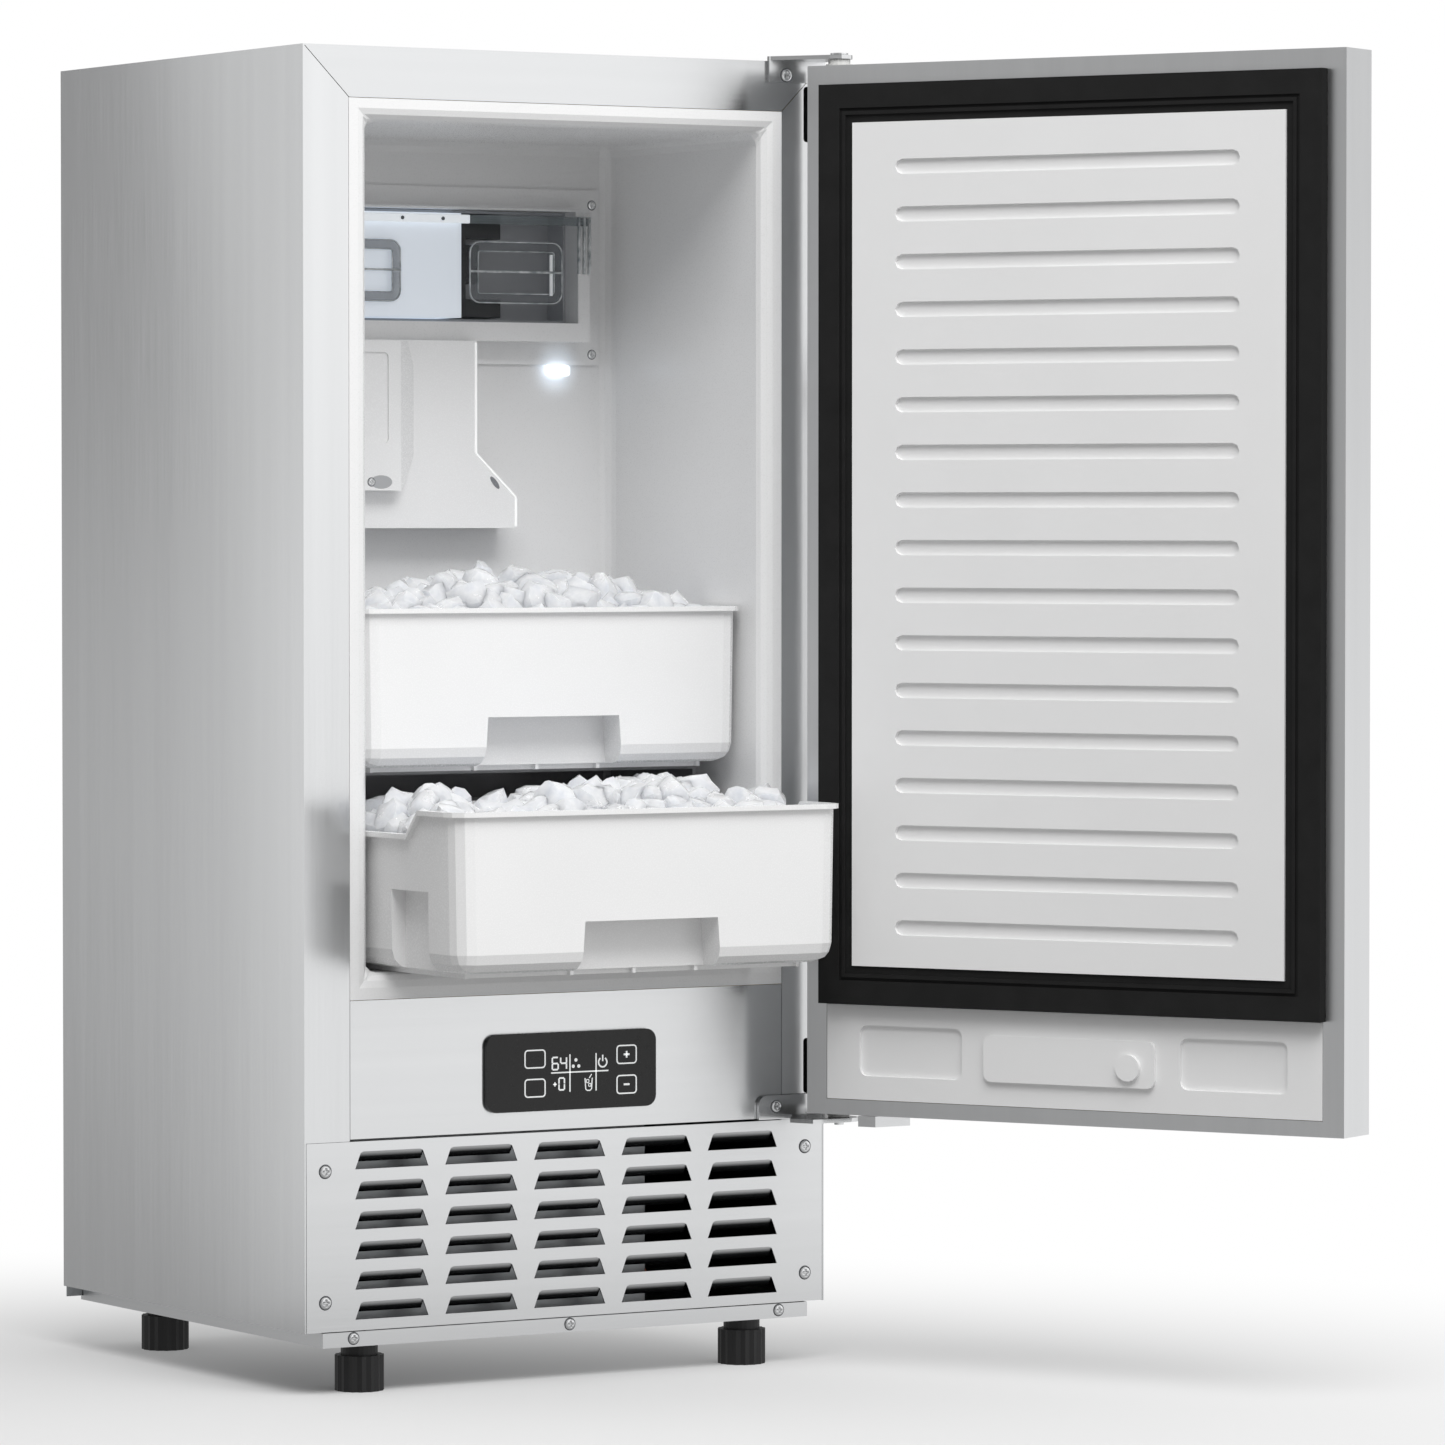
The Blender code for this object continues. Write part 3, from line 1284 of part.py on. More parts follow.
def water_parts():
    """Reservoir, float, inlet valve, drain pump and their hoses."""
    x, top_y = reservoir_offset, back_plane - sheet - seat_gap
    low = shelf_top + seat_gap
    half = reservoir_width / 2
    tank = block("water_reservoir", (x - half, top_y - reservoir_depth, low),
                 (x + half, top_y, low + reservoir_height))
    wall = reservoir_wall
    cut(tank, block("reservoir_inside", (x - half + wall, top_y - reservoir_depth + wall, low + wall),
                    (x + half - wall, top_y - wall, low + reservoir_height + cut_run)))
    float_y = top_y - reservoir_depth / 2
    join(tank, cylinder("float_stem", stem_radius, (x, float_y, low + wall / 2),
                        (x, float_y, low + reservoir_height - wall), 12))
    piece(tank, "white_plastic")
    carrier("float_axis", (x, float_y, low))
    bottom = low + wall + seat_gap
    floater = cylinder("float", float_radius, (x, float_y, bottom), (x, float_y, bottom + float_height), 20)
    cut(floater, cylinder("float_bore", stem_radius + 2 * seat_gap, (x, float_y, low),
                          (x, float_y, bottom + 2 * float_height), 12))
    piece(floater, "black_plastic", "float_axis")

    valve_x, valve_z = rear_ports()["inlet_valve"]
    inner = back_plane - sheet - seat_gap
    valve = block("inlet_valve", (valve_x - valve_width / 2, inner - valve_width, valve_z - valve_height / 2),
                  (valve_x + valve_width / 2, inner, valve_z + valve_height / 2))
    port(valve, valve_x, valve_z, inner)
    piece(valve, "white_plastic")
    drain_x, drain_z = rear_ports()["drain_pump"]
    floor = tray_floor + seat_gap
    pump = block("drain_pump", (drain_x - pump_width / 2, inner - pump_depth, floor),
                 (drain_x + pump_width / 2, inner, floor + pump_height), foot_rib_depth)
    port(pump, drain_x, drain_z, inner)
    piece(pump, "black_plastic")
    drain = (x - half + 2 * hose_radius, float_y)
    level = shelf_bottom - drain_hose_drop
    pump_top = floor + pump_height + seat_gap
    piece(tube("drain_hose", [(*drain, low - seat_gap), (*drain, level), (drain_x, drain[1], level),
                              (drain_x, inner - pump_depth / 2, level), (drain_x, inner - pump_depth / 2,
                                                                         pump_top)],
               hose_radius), "black_plastic")
    hose_top = valve_z - valve_height / 2 - seat_gap
    hose_y = inner - valve_width / 2
    piece(tube("supply_hose", [(valve_x, hose_y, hose_top), (valve_x, hose_y,
                                                             low + reservoir_height - 2 * wall)],
               hose_radius), "white_plastic")


def port(body, x, z, inner):
    """A round pipe end from a body out through the back, with its bore."""
    end = back_plane + port_length
    join(body, cylinder(f"{body.name}_pipe", port_radius, (x, inner - port_length / 2, z), (x, end, z)))
    cut(body, cylinder(f"{body.name}_bore", port_bore, (x, inner - port_length / 3, z),
                       (x, end + cut_run, z), 16))


def power_inlet():
    """The appliance inlet in the back, with its flange outside."""
    z = panel_base + inlet_rise
    x = inlet_offset
    half_x, half_z = inlet_width / 2 - seat_gap, inlet_height / 2 - seat_gap
    socket = block("power_inlet", (x - half_x, back_plane - inlet_depth, z - half_z),
                   (x + half_x, back_plane + seat_gap + inlet_flange / 2, z + half_z))
    join(socket, block("inlet_flange", (x - half_x - inlet_flange, back_plane + seat_gap,
                                        z - half_z - inlet_flange),
                       (x + half_x + inlet_flange, back_plane + seat_gap + inlet_flange / 2,
                        z + half_z + inlet_flange)))
    cut(socket, block("inlet_well", (x - half_x * 0.7, back_plane - inlet_depth * 0.6, z - half_z * 0.6),
                      (x + half_x * 0.7, back_plane + cut_run, z + half_z * 0.6)))
    return piece(socket, "black_plastic")


# Refrigeration

def condenser():
    """A finned block behind the grille, drawn as a comb that opens to the back."""
    left = condenser_offset - condenser_width / 2
    pitch = condenser_width / fin_count
    near, far = condenser_front, condenser_front + condenser_depth
    root = near + condenser_depth * fin_spine_share
    outline = [(left + condenser_width, near), (left, near)]
    for fin in range(fin_count):
        start = left + fin * pitch
        outline += [(start, far), (start + pitch * fin_share, far)]
        if fin < fin_count - 1:
            outline += [(start + pitch * fin_share, root), (start + pitch, root)]
    outline += [(left + condenser_width, far)] if fin_share == 1 else []
    outline.append((left + (fin_count - 1) * pitch + pitch * fin_share, root))
    outline.append((left + condenser_width, root))
    low = tray_floor + seat_gap
    return piece(plate("condenser", [outline[::-1]], 'XY', low, low + condenser_height), "galvanised")


def fan_parts():
    """Shroud, motor on its bracket, and the fan that turns in the shroud's ring."""
    low = tray_floor + seat_gap
    left = condenser_offset - condenser_width / 2
    right = condenser_offset + condenser_width / 2
    shroud = block("fan_shroud", (left, shroud_front, low), (right, shroud_front + shroud_depth,
                                                             low + condenser_height))
    cut(shroud, block("shroud_inside", (left + shroud_wall, shroud_front - cut_run, low + shroud_wall),
                      (right - shroud_wall, shroud_front + shroud_depth - shroud_wall,
                       low + condenser_height - shroud_wall)))
    cut(shroud, cylinder("shroud_ring", fan_radius + fan_clearance, (fan_x, shroud_front, fan_z),
                         (fan_x, shroud_front + shroud_depth + cut_run, fan_z), 40))
    piece(shroud, "black_plastic")
    back = motor_front + fan_motor_length
    piece(cylinder("fan_motor", fan_motor_radius, (fan_x, motor_front, fan_z), (fan_x, back, fan_z)),
          "galvanised", smooth=True)
    half = fan_bracket_width / 2
    bracket = block("fan_motor_bracket", (fan_x - half, back + seat_gap, low),
                    (fan_x + half, back + seat_gap + bracket_sheet, fan_z + half))
    join(bracket, block("bracket_foot", (fan_x - half, back + seat_gap, low),
                        (fan_x + half, back + half, low + bracket_sheet)))
    piece(bracket, "galvanised")

    carrier("fan_axis", (fan_x, motor_front, fan_z))
    hub_front = shroud_front + shroud_depth / 4
    fan = cylinder("condenser_fan", fan_hub_radius, (fan_x, hub_front, fan_z),
                   (fan_x, motor_front - seat_gap, fan_z), 20)
    middle = shroud_front + shroud_depth * 0.6
    reach = fan_radius - fan_clearance
    for blade in range(fan_blades):
        vane = block(f"vane_{blade}", (fan_hub_radius * 0.6, -fan_blade_sheet / 2, -fan_blade_width / 2),
                     (reach, fan_blade_sheet / 2, fan_blade_width / 2))
        spin = Matrix.Rotation(math.tau * blade / fan_blades, 4, 'Y')
        pitch = Matrix.Rotation(fan_blade_pitch, 4, 'X')
        vane.matrix_world = Matrix.Translation((fan_x, middle,
                                                fan_z)) @ spin @ pitch @ Matrix.Translation(vane.location)
        join(fan, vane)
    piece(fan, "black_plastic", "fan_axis")


def compressor_place():
    return compressor_offset, cabinet_depth - compressor_back, tray_floor + seat_gap


def riser_places():
    """Where the suction and liquid tubes rise through the shelf beside the barrel."""
    first = barrel_offset + barrel_radius + riser_gap
    return first, first + riser_gap


def compressor():
    """The domed compressor on its foot plate, with a tube stub in its top."""
    x, y, low = compressor_place()
    radius, height = compressor_radius, compressor_height
    foot = compressor_plate
    profile = [(0, height)]
    for step in range(1, 4):
        angle = math.radians(30 * step)
        profile.append((radius * math.sin(angle), height - radius * 0.6 * (1 - math.cos(angle))))
    profile += [(radius, foot + radius * 0.3), (radius * 0.8, foot / 2), (0, foot / 2)]
    shell = turned("compressor", profile, (x, y, low), 20)
    half = radius * 0.95
    join(shell, block("compressor_foot", (x - half, y - half, low), (x + half, y + half, low + foot)))
    return piece(shell, "black_plastic")


def refrigerant_tubes():
    """The tubes that join compressor, condenser and barrel; the liquid tube has the drier brazed in."""
    x, y, low = compressor_place()
    right = condenser_offset + condenser_width / 2 + seat_gap
    middle = condenser_front + condenser_depth / 2
    level = low + compressor_height / 2
    piece(tube("discharge_tube", [(x, y - compressor_radius - seat_gap, level), (x, middle, level),
                                  (right, middle, level)], tube_radius), "copper")
    side = barrel_offset + barrel_radius + seat_gap
    suction_x, liquid_x = riser_places()
    top = low + compressor_height + 2 * seat_gap
    joint = barrel_bottom + tube_stub
    piece(tube("suction_tube", [(x, y, top), (x, y, top + tube_stub), (suction_x, barrel_y, top + tube_stub),
                                (suction_x, barrel_y, joint), (side, barrel_y,
                                                               joint)], tube_radius), "copper")
    run = right + tube_stub
    level = low + tube_stub
    under = shelf_bottom - 2 * tube_stub
    turn = y - compressor_radius - tube_stub
    joint = head_bottom - 2 * tube_stub
    liquid = tube("liquid_tube", [(right, middle, level), (run, middle, level), (run, turn, level),
                                  (run, turn, under), (liquid_x, barrel_y, under), (liquid_x, barrel_y,
                                                                                    joint),
                                  (side, barrel_y, joint)], tube_radius * 0.7)
    start = (middle + turn - drier_length) / 2
    join(liquid, cylinder("filter_drier", drier_radius, (run, start, level),
                          (run, start + drier_length, level), 16))
    return piece(liquid, "copper")


# Door

def door_place(name):
    """The empty on the hinge axis, turned to the open angle; pieces on it are modelled closed."""
    return carrier(name, (hinge_x, hinge_y, 0))


def on_door(made, material, smooth=False):
    """File a piece that was modelled with the door closed, and swing it open about the hinge axis."""
    parts.objects.link(made)
    made.data.materials.clear()
    made.data.materials.append(finish(material))
    if smooth:
        made.data.shade_smooth()
        made.data.set_sharp_from_angle(angle=math.radians(35))
    hang(made, carriers["door_axis"])
    return made


def hang(made, holder):
    """Parent a piece and the tools that shape it to a carrier, all keeping their modelled places."""
    made.parent = holder
    made.matrix_basis = Matrix.Translation(-holder.location) @ made.matrix_basis
    for step in made.modifiers:
        if step.type == 'BOOLEAN' and step.object.parent is None:
            hang(step.object, holder)


def door_span():
    """Closed door: left and right edges, inner and outer faces."""
    right = hinge_x + door_hinge_edge
    return right - door_width, right, -door_gap, -door_gap - door_thickness


def door_skin():
    """The folded outer skin, its edges returned inside to make the mitred frame."""
    left, right, inner, outer = door_span()
    skin = block("door_skin", (left, outer, door_z), (right, inner, door_top))
    cut(skin, block("skin_hollow", (left + sheet, outer + sheet, door_z + sheet),
                    (right - sheet, inner - sheet, door_top - sheet)),
        block("skin_opening", (left + door_flange, inner - 2 * sheet, door_z + door_foot_flange),
              (right - door_flange, inner + cut_run, door_top - door_flange)))
    for level, reach in ((door_z, -cut_run), (door_top, cut_run)):
        start, end = sorted((level + reach, level - reach))
        cut(skin, cylinder("bush_hole", bush_radius + seat_gap, (hinge_x, hinge_y, start),
                           (hinge_x, hinge_y, end)))
    return on_door(skin, "brushed_steel")


def door_insulation():
    left, right, inner, outer = door_span()
    gap = sheet + seat_gap
    foam = block("door_insulation", (left + gap, outer + gap, door_z + gap),
                 (right - gap, inner - sheet - panel_wall - 2 * seat_gap, door_top - gap))
    for low, high in ((door_z, door_z + bush_depth + cut_run), (door_top - bush_depth - cut_run, door_top)):
        cut(foam, cylinder("foam_bush_hole", bush_radius + 2 * seat_gap, (hinge_x, hinge_y, low - cut_run),
                           (hinge_x, hinge_y, high + cut_run)))
    return on_door(foam, "foam")


def field_edges():
    """The raised field inside the gasket: left, right, bottom and top."""
    left, right, _, _ = door_span()
    inset = gasket_margin + gasket_width
    return (left + inset + seat_gap, right - inset - seat_gap,
            door_z + gasket_bottom + gasket_width + seat_gap,
            door_top - gasket_margin - gasket_width - seat_gap)


def door_inner_panel():
    """The white panel: a sheet behind the gasket and a raised field with rounded grooves."""
    left, right, inner, _ = door_span()
    gap = door_flange + seat_gap
    low = door_z + door_foot_flange + lower_panel_height + 2 * seat_gap
    back = inner - panel_wall
    base = block("door_inner_panel", (left + gap, back, low), (right - gap, inner, door_top - gap))
    x0, x1, z0, z1 = field_edges()
    join(base, block("raised_field", (x0, back + panel_wall / 2, z0), (x1, inner + panel_proud, z1)))
    wall = panel_wall + groove_depth
    cut(base, block("field_hollow", (x0 + wall, back - cut_run, z0 + wall),
                    (x1 - wall, inner + panel_proud - wall, z1 - wall)))
    middle = (left + right) / 2
    outlines = []
    for index in range(groove_count):
        z = z1 - groove_top_drop - index * groove_pitch
        outlines.append(rectangle((middle - groove_length / 2, z - groove_width / 2),
                                  (middle + groove_length / 2, z + groove_width / 2), groove_width * 0.49, 2))
    front = inner + panel_proud
    cut(base, plate("panel_grooves", outlines, 'XZ', front - groove_depth, front + cut_run))
    return on_door(base, "white_plastic")


def door_gasket():
    """The magnetic seal: a ring with a broad outer band, a groove and a lower inner lip."""
    left, right, inner, _ = door_span()
    x0, x1, z0, z1 = field_edges()
    near = inner + seat_gap
    proud = inner + gasket_height
    low, high = door_z + gasket_bottom, door_top - gasket_margin
    outer = rectangle((left + gasket_margin, low), (right - gasket_margin, high))
    hole = rectangle((x0 - seat_gap, z0 - seat_gap), (x1 + seat_gap, z1 + seat_gap))
    ring = plate("door_gasket", [outer, hole], 'XZ', near, proud)
    start, end = gasket_groove_margin, gasket_groove_margin + gasket_groove_width
    band = [rectangle((left + gasket_margin + start, low + start),
                      (right - gasket_margin - start, high - start)),
            rectangle((left + gasket_margin + end, low + end), (right - gasket_margin - end, high - end))]
    cut(ring, plate("gasket_groove", band, 'XZ', proud - gasket_groove_depth, proud + cut_run))
    lip = [rectangle((x0 - gasket_lip, z0 - gasket_lip), (x1 + gasket_lip, z1 + gasket_lip)),
           rectangle((x0 + gasket_lip, z0 + gasket_lip), (x1 - gasket_lip, z1 - gasket_lip))]
    cut(ring, plate("gasket_lip", lip, 'XZ', proud - gasket_lip_drop, proud + cut_run))
    return on_door(ring, "gasket_rubber")


def door_lower_panel():
    """The white panel under the gasket: two recesses, and a raised plate with a round boss."""
    left, right, inner, _ = door_span()
    gap = door_flange + seat_gap
    low = door_z + door_foot_flange + seat_gap
    high = low + lower_panel_height
    middle = (left + right) / 2
    base = block("door_lower_panel", (left + gap, inner - sheet - panel_wall, low),
                 (right - gap, inner, high))
    for side in (-1, 1):
        x = middle + side * recess_offset
        z = low + recess_rise
        outline = rectangle((x - recess_length / 2, z), (x + recess_length / 2, z + recess_height),
                            recess_corner, 3)
        cut(base, plate(f"recess_{side}", [outline], 'XZ', inner - recess_depth, inner + cut_run))
    z = low + raised_plate_rise
    outline = rectangle((middle - raised_plate_length / 2, z),
                        (middle + raised_plate_length / 2, z + raised_plate_height),
                        recess_corner, 3)
    join(base, plate("raised_plate", [outline], 'XZ', inner - sheet, inner + raised_plate_proud))
    x, z = middle - boss_offset, z + raised_plate_height / 2 - boss_radius / 4
    join(base, cylinder("boss", boss_radius, (x, inner, z), (x, inner + raised_plate_proud + boss_height,
                                                             z), 24))
    return on_door(base, "white_plastic")


def door_handle():
    """A round bar on two posts on the outer face, along the edge away from the hinge."""
    left, _, _, outer = door_span()
    x = left + handle_inset
    y = outer - handle_standoff
    middle = door_z + door_height / 2
    low, high = middle - handle_length / 2, middle + handle_length / 2
    bar = cylinder("door_handle", handle_radius, (x, y, low), (x, y, high), 20)
    for z in (low + handle_post_inset, high - handle_post_inset):
        join(bar, cylinder("handle_post", handle_radius * 0.8, (x, y, z), (x, outer - seat_gap, z), 16))
    return on_door(bar, "brushed_steel", smooth=True)


def door_bushes():
    """A flanged plastic bush in each end of the door, and the stop plate under it."""
    _, right, inner, _ = door_span()
    upper_top = upper_plate_z() - seat_gap
    lower_low = lower_plate_z() + hinge_sheet + seat_gap
    spans = (("upper_hinge_bush", door_top - bush_depth, door_top, upper_top),
             ("lower_hinge_bush", lower_low, door_z, door_z + bush_depth))
    for name, low, face, high in spans:
        bush = cylinder(name, bush_radius, (hinge_x, hinge_y, low), (hinge_x, hinge_y, high), 16)
        flange = sorted((face + math.copysign(seat_gap, face - door_z - seat_gap),
                         face + math.copysign(2 * sheet, face - door_z - seat_gap)))
        join(bush, cylinder(f"{name}_flange", bush_flange_radius, (hinge_x, hinge_y, flange[0]),
                            (hinge_x, hinge_y, flange[1]), 16))
        cut(bush, cylinder(f"{name}_bore", bush_bore, (hinge_x, hinge_y, low - cut_run),
                           (hinge_x, hinge_y, high + cut_run), 16))
        on_door(bush, "white_plastic")
    high = door_z - seat_gap
    corners = [(stop_foot_start, stop_foot), (stop_foot_end, stop_foot), (stop_tip_end, stop_reach),
               (stop_tip_start, stop_reach), (stop_heel_start, stop_heel)]
    outline = [(right - x, inner - y) for x, y in corners]
    return on_door(plate("door_stop_plate", [outline], 'XY', high - stop_thickness, high), "brushed_steel")


# Hinges on the cabinet

def upper_plate_z():
    return cabinet_top + seat_gap


def lower_plate_z():
    return grille_top + 3 * seat_gap


def hinge_plan(y_back, left, tips, nose_radius, nose_start):
    """Plan of a hinge plate: from the tab on the frame, past its front corners, round the pin."""
    points = [(hinge_x + hinge_tab_reach, y_back), (left, y_back)]
    points += [(hinge_x + x, hinge_y + y) for x, y in tips]
    for step in range(curve_steps + 1):
        angle = math.radians(nose_start + (360 - nose_start) * step / curve_steps)
        points.append((hinge_x + nose_radius * math.cos(angle), hinge_y + nose_radius * math.sin(angle)))
    return points


def hinge_bracket(name, plan, plate_low, tab):
    """A plate round the pin and a tab folded against the front frame, in one piece."""
    bracket = plate(name, [plan], 'XY', plate_low, plate_low + hinge_sheet)
    join(bracket, plate(f"{name}_tab", [tab], 'XZ', -seat_gap - hinge_sheet, -seat_gap))
    hole = cylinder(f"{name}_hole", pin_radius + seat_gap, (hinge_x, hinge_y, plate_low - cut_run),
                    (hinge_x, hinge_y, plate_low + hinge_sheet + cut_run), 24)
    return piece(cut(bracket, hole), "brushed_steel")


def hinges():
    """Both brackets and both pins."""
    folded = -seat_gap - hinge_sheet / 2
    right = hinge_x + hinge_tab_reach
    upper = upper_plate_z()
    left = right - upper_tab_width
    tab = rectangle((left, upper - upper_tab_height), (right, upper + hinge_sheet))
    hinge_bracket("upper_hinge_bracket", hinge_plan(folded, left, [], upper_nose_radius, upper_nose_start),
                  upper, tab)
    lower = lower_plate_z()
    left = right - lower_tab_width
    high = lower + hinge_sheet + lower_tab_height
    corner = lower_tab_corner
    tab = [(left, lower), (right, lower), (right, high), (left + corner, high)]
    for step in range(1, curve_steps + 1):
        angle = math.radians(90 + 90 * step / curve_steps)
        tab.append((left + corner + corner * math.cos(angle), high - corner + corner * math.sin(angle)))
    neck = right - lower_neck_width
    tips = [(-lower_tip_left, lower_tip_back), (-lower_front_left, -lower_front_drop)]
    hinge_bracket("lower_hinge_bracket", hinge_plan(folded, neck, tips, lower_nose_radius, lower_nose_start),
                  lower, tab)

    head_low = upper + hinge_sheet + seat_gap
    pin = cylinder("upper_hinge_pin", pin_radius, (hinge_x, hinge_y, door_top - bush_depth / 2),
                   (hinge_x, hinge_y, head_low + pin_head_height / 2), 20)
    join(pin, cylinder("upper_pin_head", pin_head_radius, (hinge_x, hinge_y, head_low),
                       (hinge_x, hinge_y, head_low + pin_head_height), 20))
    piece(pin, "brushed_steel")
    piece(cylinder("lower_hinge_pin", pin_radius, (hinge_x, hinge_y, lower - lower_pin_drop),
                   (hinge_x, hinge_y, door_z + bush_depth / 2), 20), "brushed_steel")


def centre_on_floor():
    """Move the whole so that its footprint is centred on the origin."""
    bpy.context.view_layer.update()
    graph = bpy.context.evaluated_depsgraph_get()
    low, high = Vector((math.inf,) * 3), Vector((-math.inf,) * 3)
    for made in parts.objects:
        if made.type != 'MESH':
            continue
        shape = made.evaluated_get(graph)
        for corner in shape.bound_box:
            place = shape.matrix_world @ Vector(corner)
            low = Vector(map(min, low, place))
            high = Vector(map(max, high, place))
    root = bpy.data.objects.new("ice_maker_origin", None)
    parts.objects.link(root)
    for made in list(parts.objects) + list(cutters.objects):
        if made.parent is None and made is not root:
            made.parent = root
    root.location = (-(low.x + high.x) / 2, -(low.y + high.y) / 2, 0)
    bpy.context.view_layer.update()


def main():
    for old in list(bpy.data.objects):
        bpy.data.objects.remove(old)
    bpy.context.scene.collection.children.link(parts)
    bpy.context.scene.collection.children.link(cutters)
    side_panel(-1)
    side_panel(1)
    top_panel()
    rear_panel()
    base_tray()
    levelling_feet()
    grille_panel()
    control_fascia()
    touch_panel()
    control_board()
    inner_liner()
    insulation()
    partition_shelf()
    bin_support()
    carrier("upper_bin_axis", (0, bin_rest_front, upper_bin_z))
    ice_bin("upper_bin", bin_rest_front, upper_bin_z, "upper_bin_axis")
    carrier("lower_bin_axis", (0, bin_rest_front - bin_pull, lower_bin_z))
    ice_bin("lower_bin", bin_rest_front - bin_pull, lower_bin_z, "lower_bin_axis")
    module_frame()
    module_cover()
    cavity_box()
    outlet_housing()
    ice_chute()
    level_sensor()
    lamp_lens()
    ice_maker()
    water_parts()
    power_inlet()
    condenser()
    fan_parts()
    compressor()
    refrigerant_tubes()
    hinges()
    door_place("door_axis")
    door_skin()
    door_insulation()
    door_inner_panel()
    door_gasket()
    door_lower_panel()
    door_handle()
    door_bushes()
    carriers["door_axis"].rotation_euler = (0, 0, door_open_angle)
    centre_on_floor()


main()
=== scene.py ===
"""Looks for the nugget ice maker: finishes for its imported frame, ice, screws, panel signs and the studio."""
import math

import bmesh
import bpy
import numpy as np
from bpy.props import FloatProperty, FloatVectorProperty, IntProperty, PointerProperty
from mathutils import Euler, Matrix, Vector


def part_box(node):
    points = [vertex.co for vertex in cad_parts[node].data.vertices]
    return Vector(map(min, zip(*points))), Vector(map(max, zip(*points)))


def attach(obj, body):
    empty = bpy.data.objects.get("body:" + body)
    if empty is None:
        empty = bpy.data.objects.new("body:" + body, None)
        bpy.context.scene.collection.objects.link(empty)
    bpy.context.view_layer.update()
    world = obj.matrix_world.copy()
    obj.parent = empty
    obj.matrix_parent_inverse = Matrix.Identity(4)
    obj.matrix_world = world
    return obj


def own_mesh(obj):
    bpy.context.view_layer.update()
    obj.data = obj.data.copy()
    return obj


bl_info = {
    "name": "Nugget ice maker looks",
    "version": (1, 0, 0),
    "blender": (4, 5, 0),
    "location": "View3D > Sidebar > Ice maker",
    "description": "Finishes, ice, screws and panel signs round the ice maker's packed frame",
    "category": "Object",
}

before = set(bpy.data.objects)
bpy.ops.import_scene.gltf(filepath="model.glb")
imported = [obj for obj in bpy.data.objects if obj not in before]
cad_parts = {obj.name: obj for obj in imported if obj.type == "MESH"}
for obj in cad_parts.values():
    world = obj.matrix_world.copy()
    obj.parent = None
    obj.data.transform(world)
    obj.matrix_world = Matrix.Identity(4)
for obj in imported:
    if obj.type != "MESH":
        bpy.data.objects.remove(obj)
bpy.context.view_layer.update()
MM = 0.001


def linear(code):
    """An sRGB hex code as linear red, green and blue, by the standard curve of sRGB."""
    shares = (int(code[at:at + 2], 16) / 255 for at in (0, 2, 4))
    return tuple(s / 12.92 if s <= 0.04045 else ((s + 0.055) / 1.055) ** 2.4 for s in shares)


# Places: the cabinet's middle line, its front plane and its lower edge
fascia_low, fascia_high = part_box("control_fascia")
side_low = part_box("left_side_panel")[0]
MIDDLE = (fascia_low.x + fascia_high.x) / 2
FRONT = side_low.y
BASE = side_low.z


def spot(across, deep, up):
    """A place given in millimetres from the middle line, the front plane and the lower edge, in metres."""
    return np.array((MIDDLE + across * MM, FRONT + deep * MM, BASE + up * MM))


# Sizes and colours that a user would change

def colour(name, about, code):
    return FloatVectorProperty(name=name, description=about, subtype='COLOR', size=3, min=0.0, max=1.0,
                               default=linear(code))


def length(name, about, value, low, high):
    return FloatProperty(name=name, description=about, subtype='DISTANCE', unit='LENGTH', default=value * MM,
                         min=low * MM, max=high * MM, precision=4)


def lamp_power(name, about, value):
    return FloatProperty(name=name, description=about, subtype='POWER', unit='POWER', default=value, min=0.0)


def light_level(name, about, value):
    return FloatProperty(name=name, description=about, default=value, min=0.0, max=2.0)


class IceMakerFinishes(bpy.types.PropertyGroup):
    steel: colour("Steel", "Brushed stainless steel of the cabinet and the door", "DADBDC")
    liner: colour("Liner", "Moulded liner and the module's frame", "F1F1F1")
    bins: colour("Bins", "Ice bins, chute and outlet housing", "F6F6F6")
    door_panel: colour("Door panel", "Moulded panels inside the door", "F1F1F1")
    gasket: colour("Gasket", "Rubber seal round the door panel", "262626")
    panel_black: colour("Touch panel", "Black panel on the fascia", "131313")
    signs: colour("Signs", "Printed signs and lit digits", "E4E6E6")


class IceMakerIce(bpy.types.PropertyGroup):
    nugget: length("Nugget", "Middle half width of a nugget", 10.8, 3.0, 16.0)
    spacing: length("Spacing", "Distance between neighbouring nuggets", 16.5, 6.0, 30.0)
    layers: IntProperty(name="Layers", description="Layers of nuggets over the packed ice", default=2, min=1,
                        max=4)
    seed: IntProperty(name="Seed", description="Start of the random draws", default=7, min=0)
    tint: colour("Tint", "Colour of the frosted ice", "F9FAFC")


class IceMakerTrim(bpy.types.PropertyGroup):
    screw_radius: length("Screw head", "Radius of a panel screw's head", 3.9, 1.5, 6.0)
    screw_rise: length("Screw rise", "Height of a panel screw's head", 1.5, 0.5, 3.0)
    print_width: length("Print width", "Width of a printed line on the touch panel", 0.85, 0.3, 2.0)
    print_rise: length("Print rise", "How far print stands on the touch panel", 0.08, 0.02, 0.5)


class IceMakerStudio(bpy.types.PropertyGroup):
    floor: colour("Floor", "Pale studio floor", "DCDCDC")
    key_power: lamp_power("Key lamp", "Power of the wide lamp high in front", 86.0)
    side_power: lamp_power("Side lamp", "Power of the lamp behind the left side", 1.25)
    base_level: light_level("Base level", "Soft light from every direction of the room", 0.165)
    mirror_level: light_level("Mirror level", "What steel mirrors where no lit wall stands", 0.34)


# Meshes from grids

def put_on(made, body, material, smooth=True):
    """Give a finished mesh object its finish and let it ride on its body."""
    made.data.polygons.foreach_set("use_smooth", np.full(len(made.data.polygons), smooth))
    made.data.materials.append(material)
    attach(made, body)


